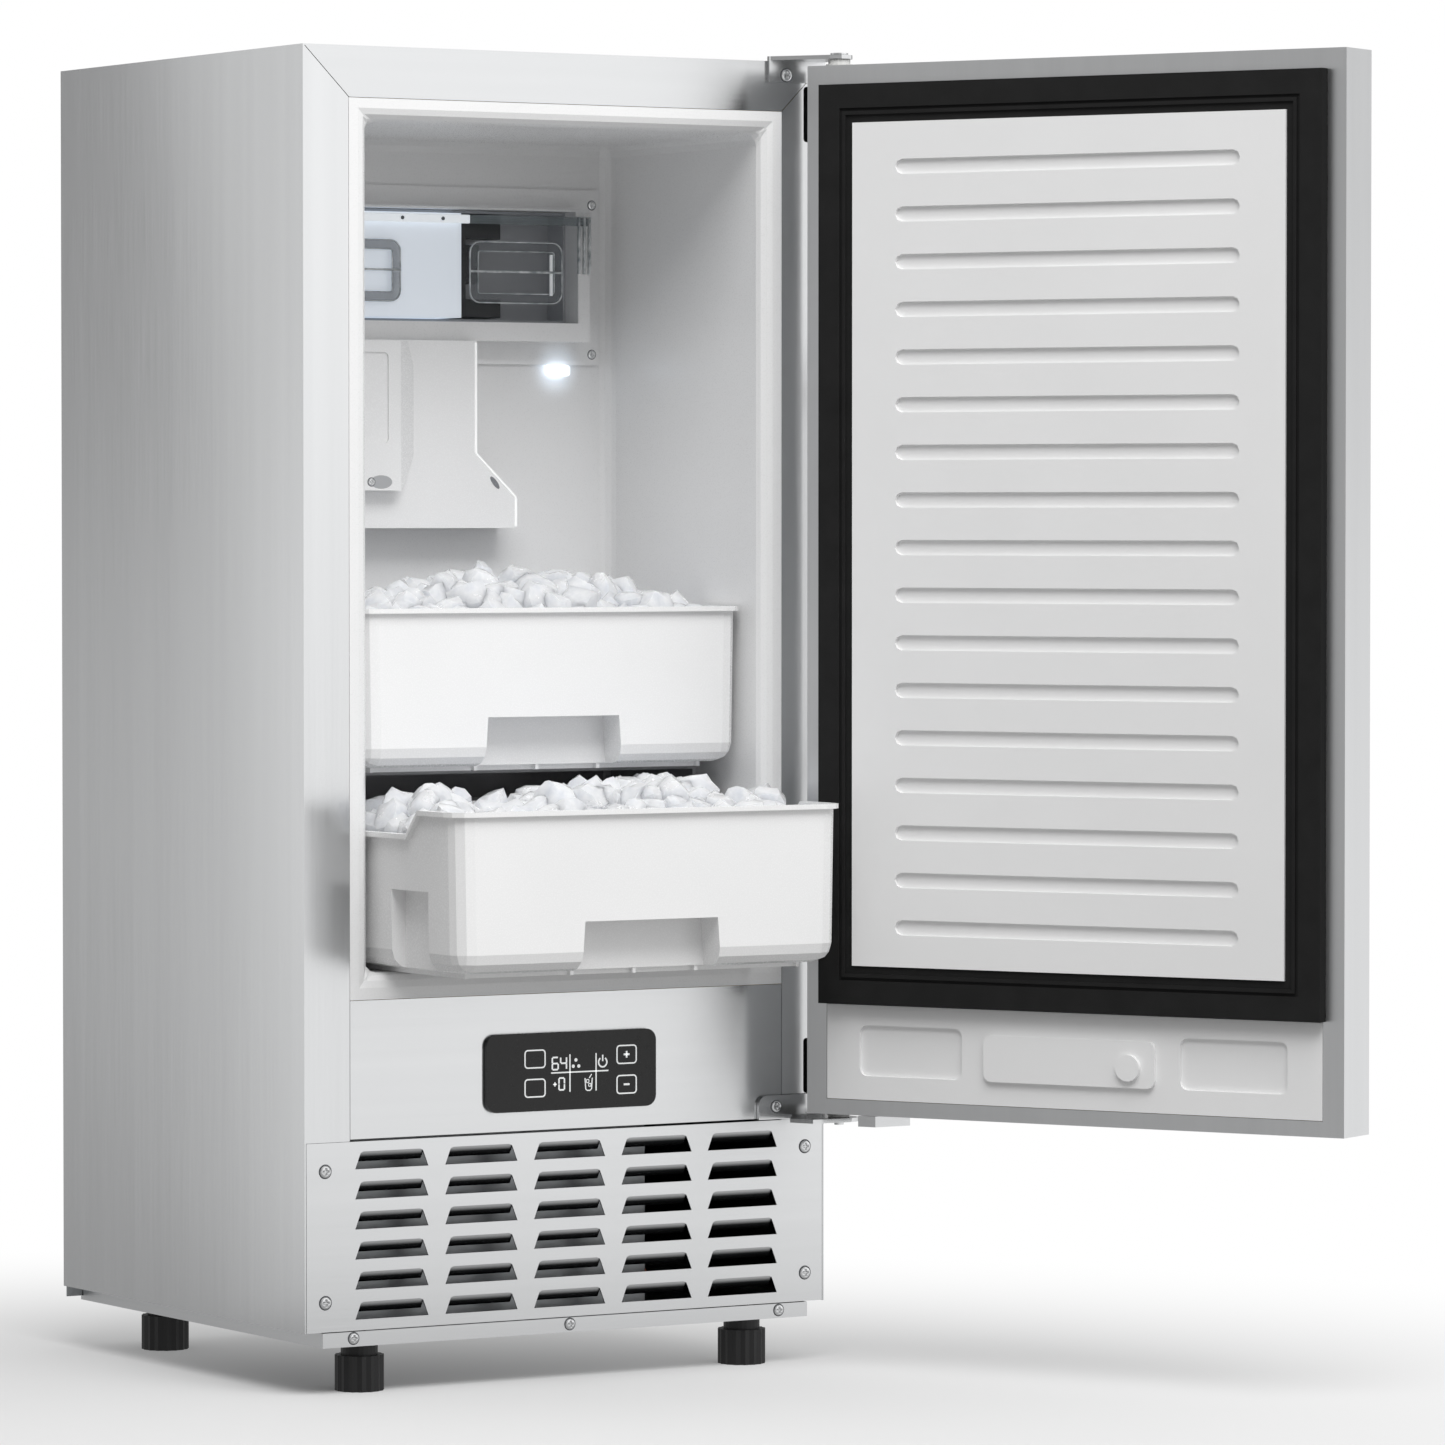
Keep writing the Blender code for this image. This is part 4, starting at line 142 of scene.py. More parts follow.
def mesh_object(name, points, faces):
    """Object at the origin from points and faces, with doubles merged and faces turned outward."""
    mesh = bpy.data.meshes.new(name)
    mesh.from_pydata(points.reshape(-1, 3).tolist(), [], faces)
    shape = bmesh.new()
    shape.from_mesh(mesh)
    bmesh.ops.remove_doubles(shape, verts=shape.verts, dist=1e-6)
    bmesh.ops.recalc_face_normals(shape, faces=shape.faces)
    shape.to_mesh(mesh)
    shape.free()
    made = bpy.data.objects.new(name, mesh)
    bpy.context.scene.collection.objects.link(made)
    return made


def quads(rows, columns, wrap_rows=False, wrap_columns=True):
    """Corner numbers of the quads of a grid of rows and columns, as an array of four to a face."""
    row = np.arange(rows if wrap_rows else rows - 1)[:, None]
    column = np.arange(columns if wrap_columns else columns - 1)[None, :]
    next_row, next_column = (row + 1) % rows, (column + 1) % columns
    return np.stack((row * columns + column, row * columns + next_column, next_row * columns + next_column,
                     next_row * columns + column), -1).reshape(-1, 4)


DEEP = np.array((0.0, 1.0, 0.0))


def swept(path, profile, closed=False):
    """A flat profile carried along a path: each ring is the path's point plus the profile's first value along
    the sideways direction (the cross product of the way into the cabinet and the path's tangent) and its
    second along the way in. Returns points (rings, corners, 3) and faces, with a flat cap at each open
    end."""
    path, profile = np.asarray(path, float), np.asarray(profile, float)
    tangent = np.roll(path, -1, 0) - np.roll(path, 1, 0) if closed else np.gradient(path, axis=0)
    tangent /= np.linalg.norm(tangent, axis=1, keepdims=True)
    sideways = np.cross(DEEP, tangent)
    sideways /= np.linalg.norm(sideways, axis=1, keepdims=True)
    rings = path[:, None, :] + profile[None, :, 0:1] * sideways[:, None, :] + profile[None, :, 1:2] * DEEP
    count, corners = rings.shape[:2]
    faces = quads(count, corners, wrap_rows=closed).tolist()
    if not closed:
        faces += [list(range(corners))[::-1], list(range((count - 1) * corners, count * corners))]
    return rings, faces


def gathered(parts):
    """Several (points, faces) pairs as one pair."""
    points, faces, start = [], [], 0
    for part_points, part_faces in parts:
        flat = np.asarray(part_points, float).reshape(-1, 3)
        points.append(flat)
        faces += [[corner + start for corner in face] for face in part_faces]
        start += len(flat)
    return np.concatenate(points), faces


def piece(name, parts, body, material, smooth=False):
    """One object from several (points, faces) pairs, with its finish, its body and its material slot."""
    put_on(mesh_object(name, *gathered(parts)), body, material, smooth)


def rounded_loop(low, high, radius, steps=5):
    """Corner points of a rounded rectangle, by quarter circles at its four corners, anticlockwise."""
    (x0, z0), (x1, z1) = low, high
    angle = np.linspace(0, math.pi / 2, steps)
    centres = ((x1 - radius, z1 - radius, 0), (x0 + radius, z1 - radius, 1), (x0 + radius, z0 + radius, 2),
               (x1 - radius, z0 + radius, 3))
    return np.concatenate([np.stack((x + radius * np.cos(angle + turn * math.pi / 2),
                                     z + radius * np.sin(angle + turn * math.pi / 2)), -1)
                           for x, z, turn in centres])


# Materials

NOISE, CELLS = 'ShaderNodeTexNoise', 'ShaderNodeTexVoronoi'
VECTOR, EASED = 'ShaderNodeVectorMath', 'SMOOTHSTEP'
# Brush lines draw their noise out along their run; a moulded face's texture is drawn this wide
BRUSH_RUN = {"up": (1.0, 1.0, 0.012), "across": (0.012, 0.012, 1.0)}
TEXTURE_MM = 0.8


def add(tree, kind, settings=None, inputs=None):
    """Add a node of this kind with its settings; an input is a value, or a socket to link from."""
    made = tree.nodes.new(kind)
    for name, value in (settings or {}).items():
        setattr(made, name, value)
    for name, value in (inputs or {}).items():
        if isinstance(value, bpy.types.NodeSocket):
            tree.links.new(value, made.inputs[name])
        else:
            made.inputs[name].default_value = value
    return made


def shade(code, factor):
    """A linear colour made lighter or darker by a factor."""
    return tuple(min(1.0, channel * factor) for channel in code)


def surface(made):
    """A material's tree and its surface shader."""
    return made.node_tree, made.node_tree.nodes["Principled BSDF"]


def finish(name, values):
    """A new material with its surface shader's constants set, and its tree and that shader for patterns."""
    made = bpy.data.materials.new(name)
    made.use_nodes = True
    tree, shader = surface(made)
    for quality, value in values.items():
        socket = shader.inputs[quality]
        socket.default_value = (*value, 1.0) if socket.type == 'RGBA' else value
    return made, tree, shader


def drive(tree, shader, sources):
    """Link each named input of a shader from its socket."""
    for name, source in sources.items():
        tree.links.new(source, shader.inputs[name])


def pattern(tree, kind, scale, settings=None, **inputs):
    """A texture read at Object coordinates through a Mapping node, with one scale or one for each axis."""
    place = add(tree, 'ShaderNodeTexCoord').outputs["Object"]
    scales = tuple(np.broadcast_to(scale, 3).tolist())
    mapped = add(tree, 'ShaderNodeMapping', inputs={"Vector": place, "Scale": scales}).outputs["Vector"]
    return add(tree, kind, settings, {"Vector": mapped, "Scale": 1.0, **inputs})


def spread(tree, value, low, high, start=0.3, end=0.7, run='LINEAR'):
    """A socket's range from start to end, by default a texture's middle, made to run from low to high."""
    return add(tree, 'ShaderNodeMapRange', {"interpolation_type": run},
               {"Value": value, "From Min": start, "From Max": end, "To Min": low, "To Max": high}).outputs[0]


def blended(tree, factor, first, second):
    """Two colours mixed by a factor socket; each is linear or a socket."""
    first, second = (way if isinstance(way, bpy.types.NodeSocket) else (*way, 1.0) for way in (first, second))
    return add(tree, 'ShaderNodeMix', {"data_type": 'RGBA'}, {0: factor, 6: first, 7: second}).outputs[2]


def relief(tree, shader, height, depth, strength=1.0):
    """Bump on the shader from a height socket, its full depth in metres."""
    bump = add(tree, 'ShaderNodeBump', inputs={"Height": height, "Distance": depth, "Strength": strength})
    drive(tree, shader, {"Normal": bump.outputs["Normal"]})


def square_to_lines(tree, along):
    """The direction in the face, square to its brush lines, in which a brushed face blurs a reflection most:
    up for lines that run across, and level (the cross product of the face's normal and up) for lines that run
    up."""
    if along == "across":
        return add(tree, 'ShaderNodeCombineXYZ', inputs={"Y": 0.05, "Z": 1.0}).outputs[0]
    normal = add(tree, 'ShaderNodeNewGeometry').outputs["Normal"]
    level = add(tree, VECTOR, {"operation": 'CROSS_PRODUCT'}, {0: normal, 1: (0.0, 0.0, 1.0)})
    return add(tree, VECTOR, {"operation": 'ADD'}, {0: level.outputs[0], 1: (0.02, 0.0, 0.0)}).outputs[0]


def brushed_steel(name, base, along, roughness=0.22, direction=0.8):
    """Stainless steel sheet, belt brushed: a satin face with long fine lines that blur a reflection across
    them. Real lines are 0.1 mm wide and too fine to show, so they are drawn 0.9 mm wide and 75 mm long."""
    made, tree, shader = finish(name, {"Metallic": 1.0, "Roughness": roughness, "Anisotropic": direction})
    run = np.array(BRUSH_RUN[along])
    fine = pattern(tree, NOISE, 1100 * run, Detail=3.0, Roughness=0.6).outputs["Fac"]
    broad = pattern(tree, NOISE, 90 * run, Detail=2.0, Roughness=0.5).outputs["Fac"]
    level = add(tree, 'ShaderNodeMath', {"operation": 'MULTIPLY_ADD'}, {0: fine, 1: 0.45, 2: broad})
    tone = spread(tree, level.outputs[0], 0.0, 1.0, 0.45, 1.0)
    drive(tree, shader, {"Tangent": square_to_lines(tree, along),
                         "Base Color": blended(tree, tone, shade(base, 0.975), shade(base, 1.02)),
                         "Roughness": spread(tree, fine, roughness - 0.02, roughness + 0.03)})
    relief(tree, shader, fine, 0.00001, 0.12)
    return made


def slotted_steel(base):
    """The grille's sheet: brushed steel whose louvres are painted dark from 1 mm behind its face, a painted
    shade for the shadow that fills the slots."""
    made = brushed_steel("brushed_steel_grille", base, "across")
    tree, shader = surface(made)
    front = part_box("grille_panel")[0].y
    place = add(tree, 'ShaderNodeTexCoord').outputs["Object"]
    deep = add(tree, 'ShaderNodeSeparateXYZ', inputs={"Vector": place}).outputs["Y"]
    # Painted shade: the steel darkens from 1 mm behind the face, where the louvres sit in shadow
    dark = spread(tree, deep, 0.0, 1.0, front + 1.0 * MM, front + 2.6 * MM)
    bright = shader.inputs["Base Color"].links[0].from_socket
    drive(tree, shader, {"Base Color": blended(tree, dark, bright, linear("2E2F30"))})
    return made


def moulded_plastic(name, base, roughness):
    """Injection moulded ABS or polypropylene: even colour, a soft gloss and a faint spark-eroded texture. The
    real texture is 0.1 to 0.2 mm and is drawn at TEXTURE_MM so that it shows."""
    made, tree, shader = finish(name, {"IOR": 1.49})
    cloud = pattern(tree, NOISE, 14.0, Detail=2.0).outputs["Fac"]
    fine = pattern(tree, NOISE, 1000 / TEXTURE_MM, Detail=2.0).outputs["Fac"]
    drive(tree, shader, {"Base Color": blended(tree, cloud, shade(base, 0.975), shade(base, 1.02)),
                         "Roughness": spread(tree, fine, roughness - 0.05, roughness + 0.05)})
    relief(tree, shader, fine, 0.00002, 0.25)
    return made


def rubber(name, base, roughness=0.55):
    """Extruded rubber or soft PVC: nearly black, matt with a faint bloom along the run."""
    made, tree, shader = finish(name, {"IOR": 1.52, "Specular IOR Level": 0.03})
    bloom = pattern(tree, NOISE, 60.0, Detail=4.0).outputs["Fac"]
    drive(tree, shader, {"Base Color": blended(tree, bloom, shade(base, 0.85), shade(base, 1.3)),
                         "Roughness": spread(tree, bloom, roughness - 0.08, roughness + 0.08)})
    relief(tree, shader, bloom, 0.00005, 0.2)
    return made


def gloss_black(name, base):
    """Acrylic panel, back painted black: deep gloss with a trace of dust and fine wipe marks."""
    made, tree, shader = finish(name, {"IOR": 1.49, "Specular IOR Level": 0.4})
    dust = pattern(tree, NOISE, 220.0, Detail=5.0).outputs["Fac"]
    drive(tree, shader, {"Base Color": blended(tree, dust, shade(base, 0.9), shade(base, 1.25)),
                         "Roughness": spread(tree, dust, 0.16, 0.30)})
    return made


def clear_cover():
    """Polycarbonate sheet: clear with a faint blue haze, sharp gloss and bright edges."""
    made, tree, shader = finish("clear_polycarbonate", {"Base Color": linear("C4CCD2"), "IOR": 1.585,
                                                        "Roughness": 0.06, "Specular IOR Level": 0.35})
    edge = add(tree, 'ShaderNodeLayerWeight', inputs={"Blend": 0.35}).outputs["Facing"]
    haze = pattern(tree, NOISE, 40.0, Detail=2.0).outputs["Fac"]
    drive(tree, shader, {"Alpha": spread(tree, edge, 0.015, 0.60, 0.35, 0.95),
                         "Roughness": spread(tree, haze, 0.04, 0.10)})
    return made


def frosted_ice(tint):
    """Nugget ice: pressed frost with cloudy and clear patches 8 to 12 mm across, a wet skin, and a painted
    white sheen on the edges where a chunk curves away. Light goes deep into it, so its shadows are pale; a low
    painted glow stands in for what reaches it through its neighbours."""
    made, tree, shader = finish("nugget_ice", {
        "IOR": 1.31, "Subsurface Weight": 0.85, "Subsurface Scale": 0.014, "Transmission Weight": 0.28,
        "Subsurface Radius": (1.0, 1.0, 1.0), "Coat Weight": 0.6, "Coat Roughness": 0.05,
        "Emission Color": tint, "Emission Strength": 0.055})
    frost = pattern(tree, NOISE, 95.0, Detail=3.0).outputs["Fac"]
    cracks = pattern(tree, CELLS, 130.0, {"feature": 'DISTANCE_TO_EDGE'}).outputs["Distance"]
    edge = add(tree, 'ShaderNodeLayerWeight', inputs={"Blend": 0.5}).outputs["Facing"]
    body = blended(tree, spread(tree, frost, 0.0, 1.0, 0.35, 0.65), linear("DBDEE4"), tint)
    # Painted sheen: the colour turns white where the face turns away from the view
    drive(tree, shader, {"Base Color": blended(tree, spread(tree, edge, 0.0, 1.0, 0.35, 0.9), body, tint),
                         "Roughness": spread(tree, frost, 0.10, 0.30)})
    relief(tree, shader, cracks, 0.0010, 0.3)
    return made


def zinc_sheet():
    """Hot dip galvanised steel: dull grey with crystal spangle 6 to 12 mm across."""
    made, tree, shader = finish("galvanised_sheet", {"Metallic": 1.0})
    spangle = pattern(tree, CELLS, 110.0).outputs
    grey = linear("B4B7B9")
    drive(tree, shader, {"Base Color": blended(tree, spangle["Color"], shade(grey, 0.82), shade(grey, 1.1)),
                         "Roughness": spread(tree, spangle["Distance"], 0.38, 0.55, 0.0, 1.0)})
    return made


def speckled(name, codes, metallic, roughness, scale, depth, strength=0.4):
    """A finish whose colour moves between two codes with noise of this scale, which also gives its bump."""
    made, tree, shader = finish(name, {"Metallic": metallic})
    noise = pattern(tree, NOISE, scale, Detail=4.0).outputs["Fac"]
    drive(tree, shader, {"Base Color": blended(tree, noise, linear(codes[0]), linear(codes[1])),
                         "Roughness": spread(tree, noise, roughness - 0.06, roughness + 0.08)})
    relief(tree, shader, noise, depth, strength)
    return made


def lit(name, code, strength, glow):
    """A lens or print that is lit from behind, or a part with a painted glow or highlight: its own colour, and
    a glow with a fine grain.
    """
    made, tree, shader = finish(name, {"Base Color": linear(code), "Roughness": 0.3,
                                       "Emission Strength": strength})
    grain = pattern(tree, NOISE, 900.0, Detail=1.0).outputs["Fac"]
    drive(tree, shader, {"Emission Color": blended(tree, grain, shade(linear(glow), 0.9), linear(glow))})
    return made


def glow_near_lamp(material, strength, start, end):
    """Let a material glow near the lamp's lens, as its light or as painted light: its strength falls smoothly
    to 0 between two distances.
    """
    tree, shader = surface(material)
    low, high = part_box("lamp_lens")
    place = add(tree, 'ShaderNodeTexCoord').outputs["Object"]
    away = add(tree, VECTOR, {"operation": 'DISTANCE'}, {0: place, 1: tuple((low + high) / 2)})
    drive(tree, shader, {"Emission Strength": spread(tree, away.outputs["Value"], strength, 0.0, start, end,
                                                     EASED)})


def dress(material, *names):
    """Give CAD nodes their finish."""
    for name in names:
        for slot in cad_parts[name].material_slots:
            slot.material = material


class ICEMAKER_OT_steel(bpy.types.Operator):
    """Finish the steel sheets of the cabinet, the door and the hinges"""
    bl_idname = "icemaker.steel"
    bl_label = "Steel sheets"

    def execute(self, context):
        base = tuple(context.scene.ice_maker_finishes.steel)
        dress(brushed_steel("brushed_steel_side", base, "up", 0.20, 0.1), "left_side_panel",
              "right_side_panel")
        dress(brushed_steel("brushed_steel_front", base, "across"), "top_panel", "control_fascia")
        dress(brushed_steel("satin_steel_tray", base, "across", 0.34, 0.3), "base_tray")
        dress(slotted_steel(base), "grille_panel")
        dress(brushed_steel("brushed_steel_door", base, "up", 0.30, 0.5), "door_skin", "door_handle")
        dress(brushed_steel("polished_steel_hinge", base, "across", 0.20, 0.5), "upper_hinge_bracket",
              "lower_hinge_bracket", "upper_hinge_pin", "lower_hinge_pin", "door_stop_plate",
              "evaporator_barrel", "auger")
        return {'FINISHED'}


class ICEMAKER_OT_plastics(bpy.types.Operator):
    """Finish the moulded, rubber and clear pieces that the open door shows"""
    bl_idname = "icemaker.plastics"
    bl_label = "Moulded and clear pieces"

    def execute(self, context):
        colours = context.scene.ice_maker_finishes
        # Painted light: the liner glows, faint and cold, on the wall round the lens, for the lamp's light
        # falling there
        liner = moulded_plastic("liner_abs", tuple(colours.liner), 0.30)
        surface(liner)[1].inputs["Emission Color"].default_value = (*linear("DCEEFF"), 1.0)
        glow_near_lamp(liner, 0.26, 3 * MM, 21 * MM)
        dress(liner, "inner_liner", "module_frame")
        dress(moulded_plastic("bin_polypropylene", tuple(colours.bins), 0.26), "upper_bin", "lower_bin",
              "ice_chute")
        # Painted light: the outlet housing glows faintly, though it is no lamp, so that it stays bright behind
        # the cover
        dress(lit("housing_painted_glow", "F2F6FA", 0.30, "E8F2FF"), "outlet_housing")
        dress(moulded_plastic("door_panel_abs", tuple(colours.door_panel), 0.42), "door_inner_panel",
              "door_lower_panel")
        dress(moulded_plastic("white_nylon", linear("D6D6D4"), 0.35), "upper_hinge_bush", "lower_hinge_bush",
              "extruder_head", "inlet_valve", "supply_hose", "water_reservoir")
        dress(rubber("gasket_rubber", tuple(colours.gasket)), "door_gasket")
        dress(rubber("hose_rubber", linear("303030")), "drain_hose")
        dress(moulded_plastic("black_abs", linear("161617"), 0.45), "foot_front_left", "foot_front_right",
              "foot_rear_left", "foot_rear_right", "power_inlet", "drain_pump", "fan_shroud",
              "condenser_fan", "float")
        # Painted shade: the bin support's grey is set for the shade in the gap between the bins
        dress(moulded_plastic("support_gap_shade_abs", linear("B4B4B7"), 0.16), "bin_support")
        dress(moulded_plastic("cavity_grey_abs", linear("B0B2B6"), 0.40), "module_cavity")
        dress(gloss_black("black_acrylic", tuple(colours.panel_black)), "touch_panel", "level_sensor")
        dress(clear_cover(), "module_cover")
        lens = lit("lamp_lens_lit", "F2F7FF", 1.6, "E6F2FF")
        glow_near_lamp(lens, 1.8, 5.5 * MM, 12.0 * MM)
        dress(lens, "lamp_lens")
        return {'FINISHED'}


class ICEMAKER_OT_machinery(bpy.types.Operator):
    """Finish the rear panel and the machinery behind the panels"""
    bl_idname = "icemaker.machinery"
    bl_label = "Machinery"

    def execute(self, context):
        dress(zinc_sheet(), "rear_panel", "partition_shelf", "barrel_bracket", "fan_motor_bracket")
        # Baked black enamel on pressed steel, lightly pebbled by spraying
        dress(speckled("black_enamel", ("151617", "242527"), 0.0, 0.34, 420.0, 0.00008), "compressor",
              "fan_motor", "gear_motor")
        # Rolled aluminium fin stock, dulled by handling
        dress(speckled("fin_aluminium", ("A9ACAF", "C6C9CB"), 1.0, 0.36, 130.0, 0.00004), "condenser")
        # Drawn copper tube, going brown in patches where it has been warm
        dress(speckled("drawn_copper", ("9A5B3C", "C98A66"), 1.0, 0.30, 75.0, 0.00003), "discharge_tube",
              "suction_tube", "liquid_tube")
        # Green solder mask over woven glass board
        dress(speckled("board_green", ("0E4A2A", "17633A"), 0.0, 0.38, 600.0, 0.00005), "control_board")
        # Poured polyurethane foam, cream coloured with open cells 1 to 2 mm across
        dress(speckled("cast_foam", ("CBB878", "E3D3A0"), 0.0, 0.85, 650.0, 0.0008, 0.8), "insulation",
              "door_insulation")
        return {'FINISHED'}


# Ice

# A lump has this many rings of this many corners, this many random cuts, and edges eased by this power
RINGS, SECTORS, CUTS, EASE = 6, 10, 8, 18
# The rows of a layer stand this many spacings apart, and a lump strays by these shares of a spacing and of
# its half width
ROW_STEP, STRAY, LIFT = 0.87, 0.28, 0.35
# The bins' inner corners, and how far their walls stand in from their boxes: lip, side wall and end wall
CORNER_RADIUS = 12 * MM
BIN_LIP, BIN_SIDE, BIN_END = 3.0 * MM, 4.6 * MM, 2.9 * MM
# The heap's dips run this far sideways for each unit back; its bed starts over the bins' grips and recesses
HEAP_SLANT, ABOVE_RECESSES = 0.612, 57 * MM
# How far ice stands over the rim along the walls, and how far below it where the rim dips
EDGE_RISE, DIP_DROP = 2.5 * MM, 6 * MM
# The ridge of each heap, in millimetres across from the middle line and up from the rim
UPPER_RIDGE = ((-190, 8), (-79, 13), (-46, 20), (-8, 26), (6, 22), (32, 26), (60, 23), (80, 22), (91, 11),
               (104, 16), (126, 13), (142, 9), (168, 7), (190, 1))
LOWER_RIDGE = ((-190, 6), (-152, 8), (-112, 18), (-90, 5), (-78, 0), (-62, 4), (-45, 11), (-7, 18), (8, 15),
               (44, 20), (78, 18), (92, 8), (113, 13), (142, 8), (166, 7), (190, 2))


def nugget_faces(count):
    """Faces of some nuggets: bands of quads between rings, and a fan of triangles to each pole's point."""
    corners = RINGS * SECTORS + 2
    bands = quads(RINGS, SECTORS)
    sector = np.arange(SECTORS)
    following = (sector + 1) % SECTORS
    last = (RINGS - 1) * SECTORS
    fans = np.concatenate((np.stack((np.full(SECTORS, corners - 2), following, sector), -1),
                           np.stack((np.full(SECTORS, corners - 1), last + sector, last + following), -1)))
    start = np.arange(count)[:, None, None] * corners
    return (bands[None] + start).reshape(-1, 4).tolist() + (fans[None] + start).reshape(-1, 3).tolist()


def nuggets(draw, centres, half):
    """Chunks at the centres. Each is cut by the six planes of a box and a few more at random: in each
    direction its radius is one over the power mean of how soon that direction meets every plane, which eases
    the edges between the cuts. It is scaled by its own three half widths and turned at random. Returns points
    (lumps, corners, 3)."""
    count = len(centres)
    polar = np.linspace(0.0, math.pi, RINGS + 2)[1:-1][:, None]
    turn = (np.arange(SECTORS) / SECTORS * 2 * math.pi)[None, :]
    ball = np.stack((np.sin(polar) * np.cos(turn), np.sin(polar) * np.sin(turn), np.cos(polar) + 0 * turn),
                    -1).reshape(-1, 3)
    ball = np.concatenate((ball, [[0.0, 0.0, 1.0], [0.0, 0.0, -1.0]]))
    box = np.concatenate((np.eye(3), -np.eye(3)))
    cuts = draw.normal(size=(count, CUTS, 3))
    cuts /= np.linalg.norm(cuts, axis=2, keepdims=True)
    planes = np.concatenate((np.broadcast_to(box, (count, 6, 3)), cuts), 1)
    planes = planes / draw.uniform(0.86, 1.12, (count, 6 + CUTS, 1))
    met = np.clip(np.einsum('nkc,pc->npk', planes, ball), 0.0, None)
    radius = (met ** EASE).sum(2) ** (-1 / EASE)
    sizes = half * draw.uniform(0.78, 1.14, (count, 1)) * draw.uniform((1.00, 0.85, 0.75), (1.30, 1.10, 1.00),
                                                                       (count, 3))
    lump = ball[None] * radius[:, :, None] * sizes[:, None, :]
    spin = draw.normal(size=(count, 4))
    w, x, y, z = (spin / np.linalg.norm(spin, axis=1, keepdims=True)).T
    turned = np.stack((1 - 2 * (y * y + z * z), 2 * (x * y - z * w), 2 * (x * z + y * w),
                       2 * (x * y + z * w), 1 - 2 * (x * x + z * z), 2 * (y * z - x * w),
                       2 * (x * z - y * w), 2 * (y * z + x * w), 1 - 2 * (x * x + y * y)), -1)
    return np.einsum('nij,npj->npi', turned.reshape(-1, 3, 3), lump) + centres[:, None, :]


def kept_inside(lumps, low, high, ceiling):
    """Each lump moved back by as much as its farthest corner passes the bin's inner outline, a rounded
    rectangle, and let down by as much as its top passes the ceiling."""
    low, high = np.asarray(low), np.asarray(high)
    offset = lumps[..., :2] - (low + high) / 2
    beyond = np.clip(np.abs(offset) - ((high - low) / 2 - CORNER_RADIUS), 0.0, None)
    reach = np.linalg.norm(beyond, axis=2)
    lump, worst = np.arange(len(lumps)), reach.argmax(1)
    farthest = np.clip(reach[lump, worst], 1e-9, None)
    excess = np.clip(farthest - CORNER_RADIUS, 0.0, None) / farthest
    push = np.sign(offset[lump, worst]) * beyond[lump, worst] * excess[:, None]
    lumps[..., :2] -= push[:, None, :]
    lumps[..., 2] -= np.clip(lumps[..., 2].max(1) - ceiling, 0.0, None)[:, None]
    return lumps


def smooth_step(value, start, end):
    """0 before start, 1 after end, and the cubic 3t^2 - 2t^3 between."""
    t = np.clip((value - start) / (end - start), 0.0, 1.0)
    return t * t * (3 - 2 * t)


def crown_of(low, high, rim, ridge):
    """A function that gives the heap's height at a place: the ridge's height over the rim, whose rises and
    dips run slanting from front right to back left, faded towards the front and back walls, and let down at
    the sides where the bin's rim dips."""
    peaks = np.array(ridge, float) * MM

    def crown(x, y):
        along = (y - low[1]) / (high[1] - low[1])
        slanted = x - MIDDLE - HEAP_SLANT * (y - (low[1] + high[1]) / 2)
        share = smooth_step(along, 0.02, 0.30) * (1 - 0.55 * smooth_step(along, 0.72, 1.0))
        over = np.interp(slanted, peaks[:, 0], peaks[:, 1])
        beside = 1 - smooth_step(np.minimum(x - low[0], high[0] - x), 4 * MM, 20 * MM)
        dip = beside * smooth_step(along, 0.27, 0.40) * (1 - smooth_step(along, 0.80, 0.95))
        return rim + EDGE_RISE + (over - EDGE_RISE) * share - dip * (over * share + DIP_DROP)

    return crown


def heap(name, draw, low, high, crown, sizes, floor, ceiling):
    """Ice in a bin: a bed whose top is the crown's height less one and a half nuggets, and layers of nuggets
    set on a jittered brick lattice under the crown. low and high are the inner corners of the bin at its rim,
    seen from above."""
    half, spacing = sizes.nugget, sizes.spacing
    columns = int((high[0] - low[0] - 2 * half) / spacing) + 1
    rows = int((high[1] - low[1] - 2 * half) / (ROW_STEP * spacing)) + 1
    centres = []
    for layer in range(sizes.layers):
        column, row = np.meshgrid(np.arange(columns), np.arange(rows))
        x = low[0] + half + (column + 0.5 * ((row + layer) % 2)) * spacing
        y = low[1] + half + (row + 0.33 * layer) * ROW_STEP * spacing
        x, y = (place + draw.uniform(-STRAY, STRAY, place.shape) * spacing for place in (x, y))
        x = np.clip(x, low[0] + half, high[0] - half)
        y = np.clip(y, low[1] + half, high[1] - half)
        lift = draw.uniform(-LIFT, LIFT, x.shape) * half
        up = crown(x, y) - 1.45 * half - layer * 0.95 * half + lift
        centres.append(np.stack((x, y, up), -1).reshape(-1, 3))
    centres = np.concatenate(centres)
    lumps = kept_inside(nuggets(draw, centres, half), low, high, ceiling)
    bed_columns, bed_rows, inset = 40, 24, 3.5 * MM
    x, y = np.meshgrid(np.linspace(low[0] + inset, high[0] - inset, bed_columns),
                       np.linspace(low[1] + inset, high[1] - inset, bed_rows))
    top = np.stack((x, y, crown(x, y) - 3.0 * half + 0.2 * half * np.sin(310 * x) * np.sin(290 * y)), -1)
    foot = np.stack((x * 0.98 + 0.02 * (low[0] + high[0]) / 2, y, np.full_like(x, floor)), -1)
    bed_faces = quads(bed_rows, bed_columns, wrap_columns=False).tolist()
    count = bed_rows * bed_columns
    under = [[corner + count for corner in face[::-1]] for face in bed_faces]
    grid = np.arange(count).reshape(bed_rows, bed_columns)
    rim = np.concatenate((grid[0, :-1], grid[:-1, -1], grid[-1, :0:-1], grid[:0:-1, 0]))
    around = np.stack((rim, np.roll(rim, -1), np.roll(rim, -1) + count, rim + count), -1).tolist()
    bed = (np.concatenate((top.reshape(-1, 3), foot.reshape(-1, 3))), bed_faces + under + around)
    return mesh_object(name, *gathered([(lumps, nugget_faces(len(centres))), bed]))


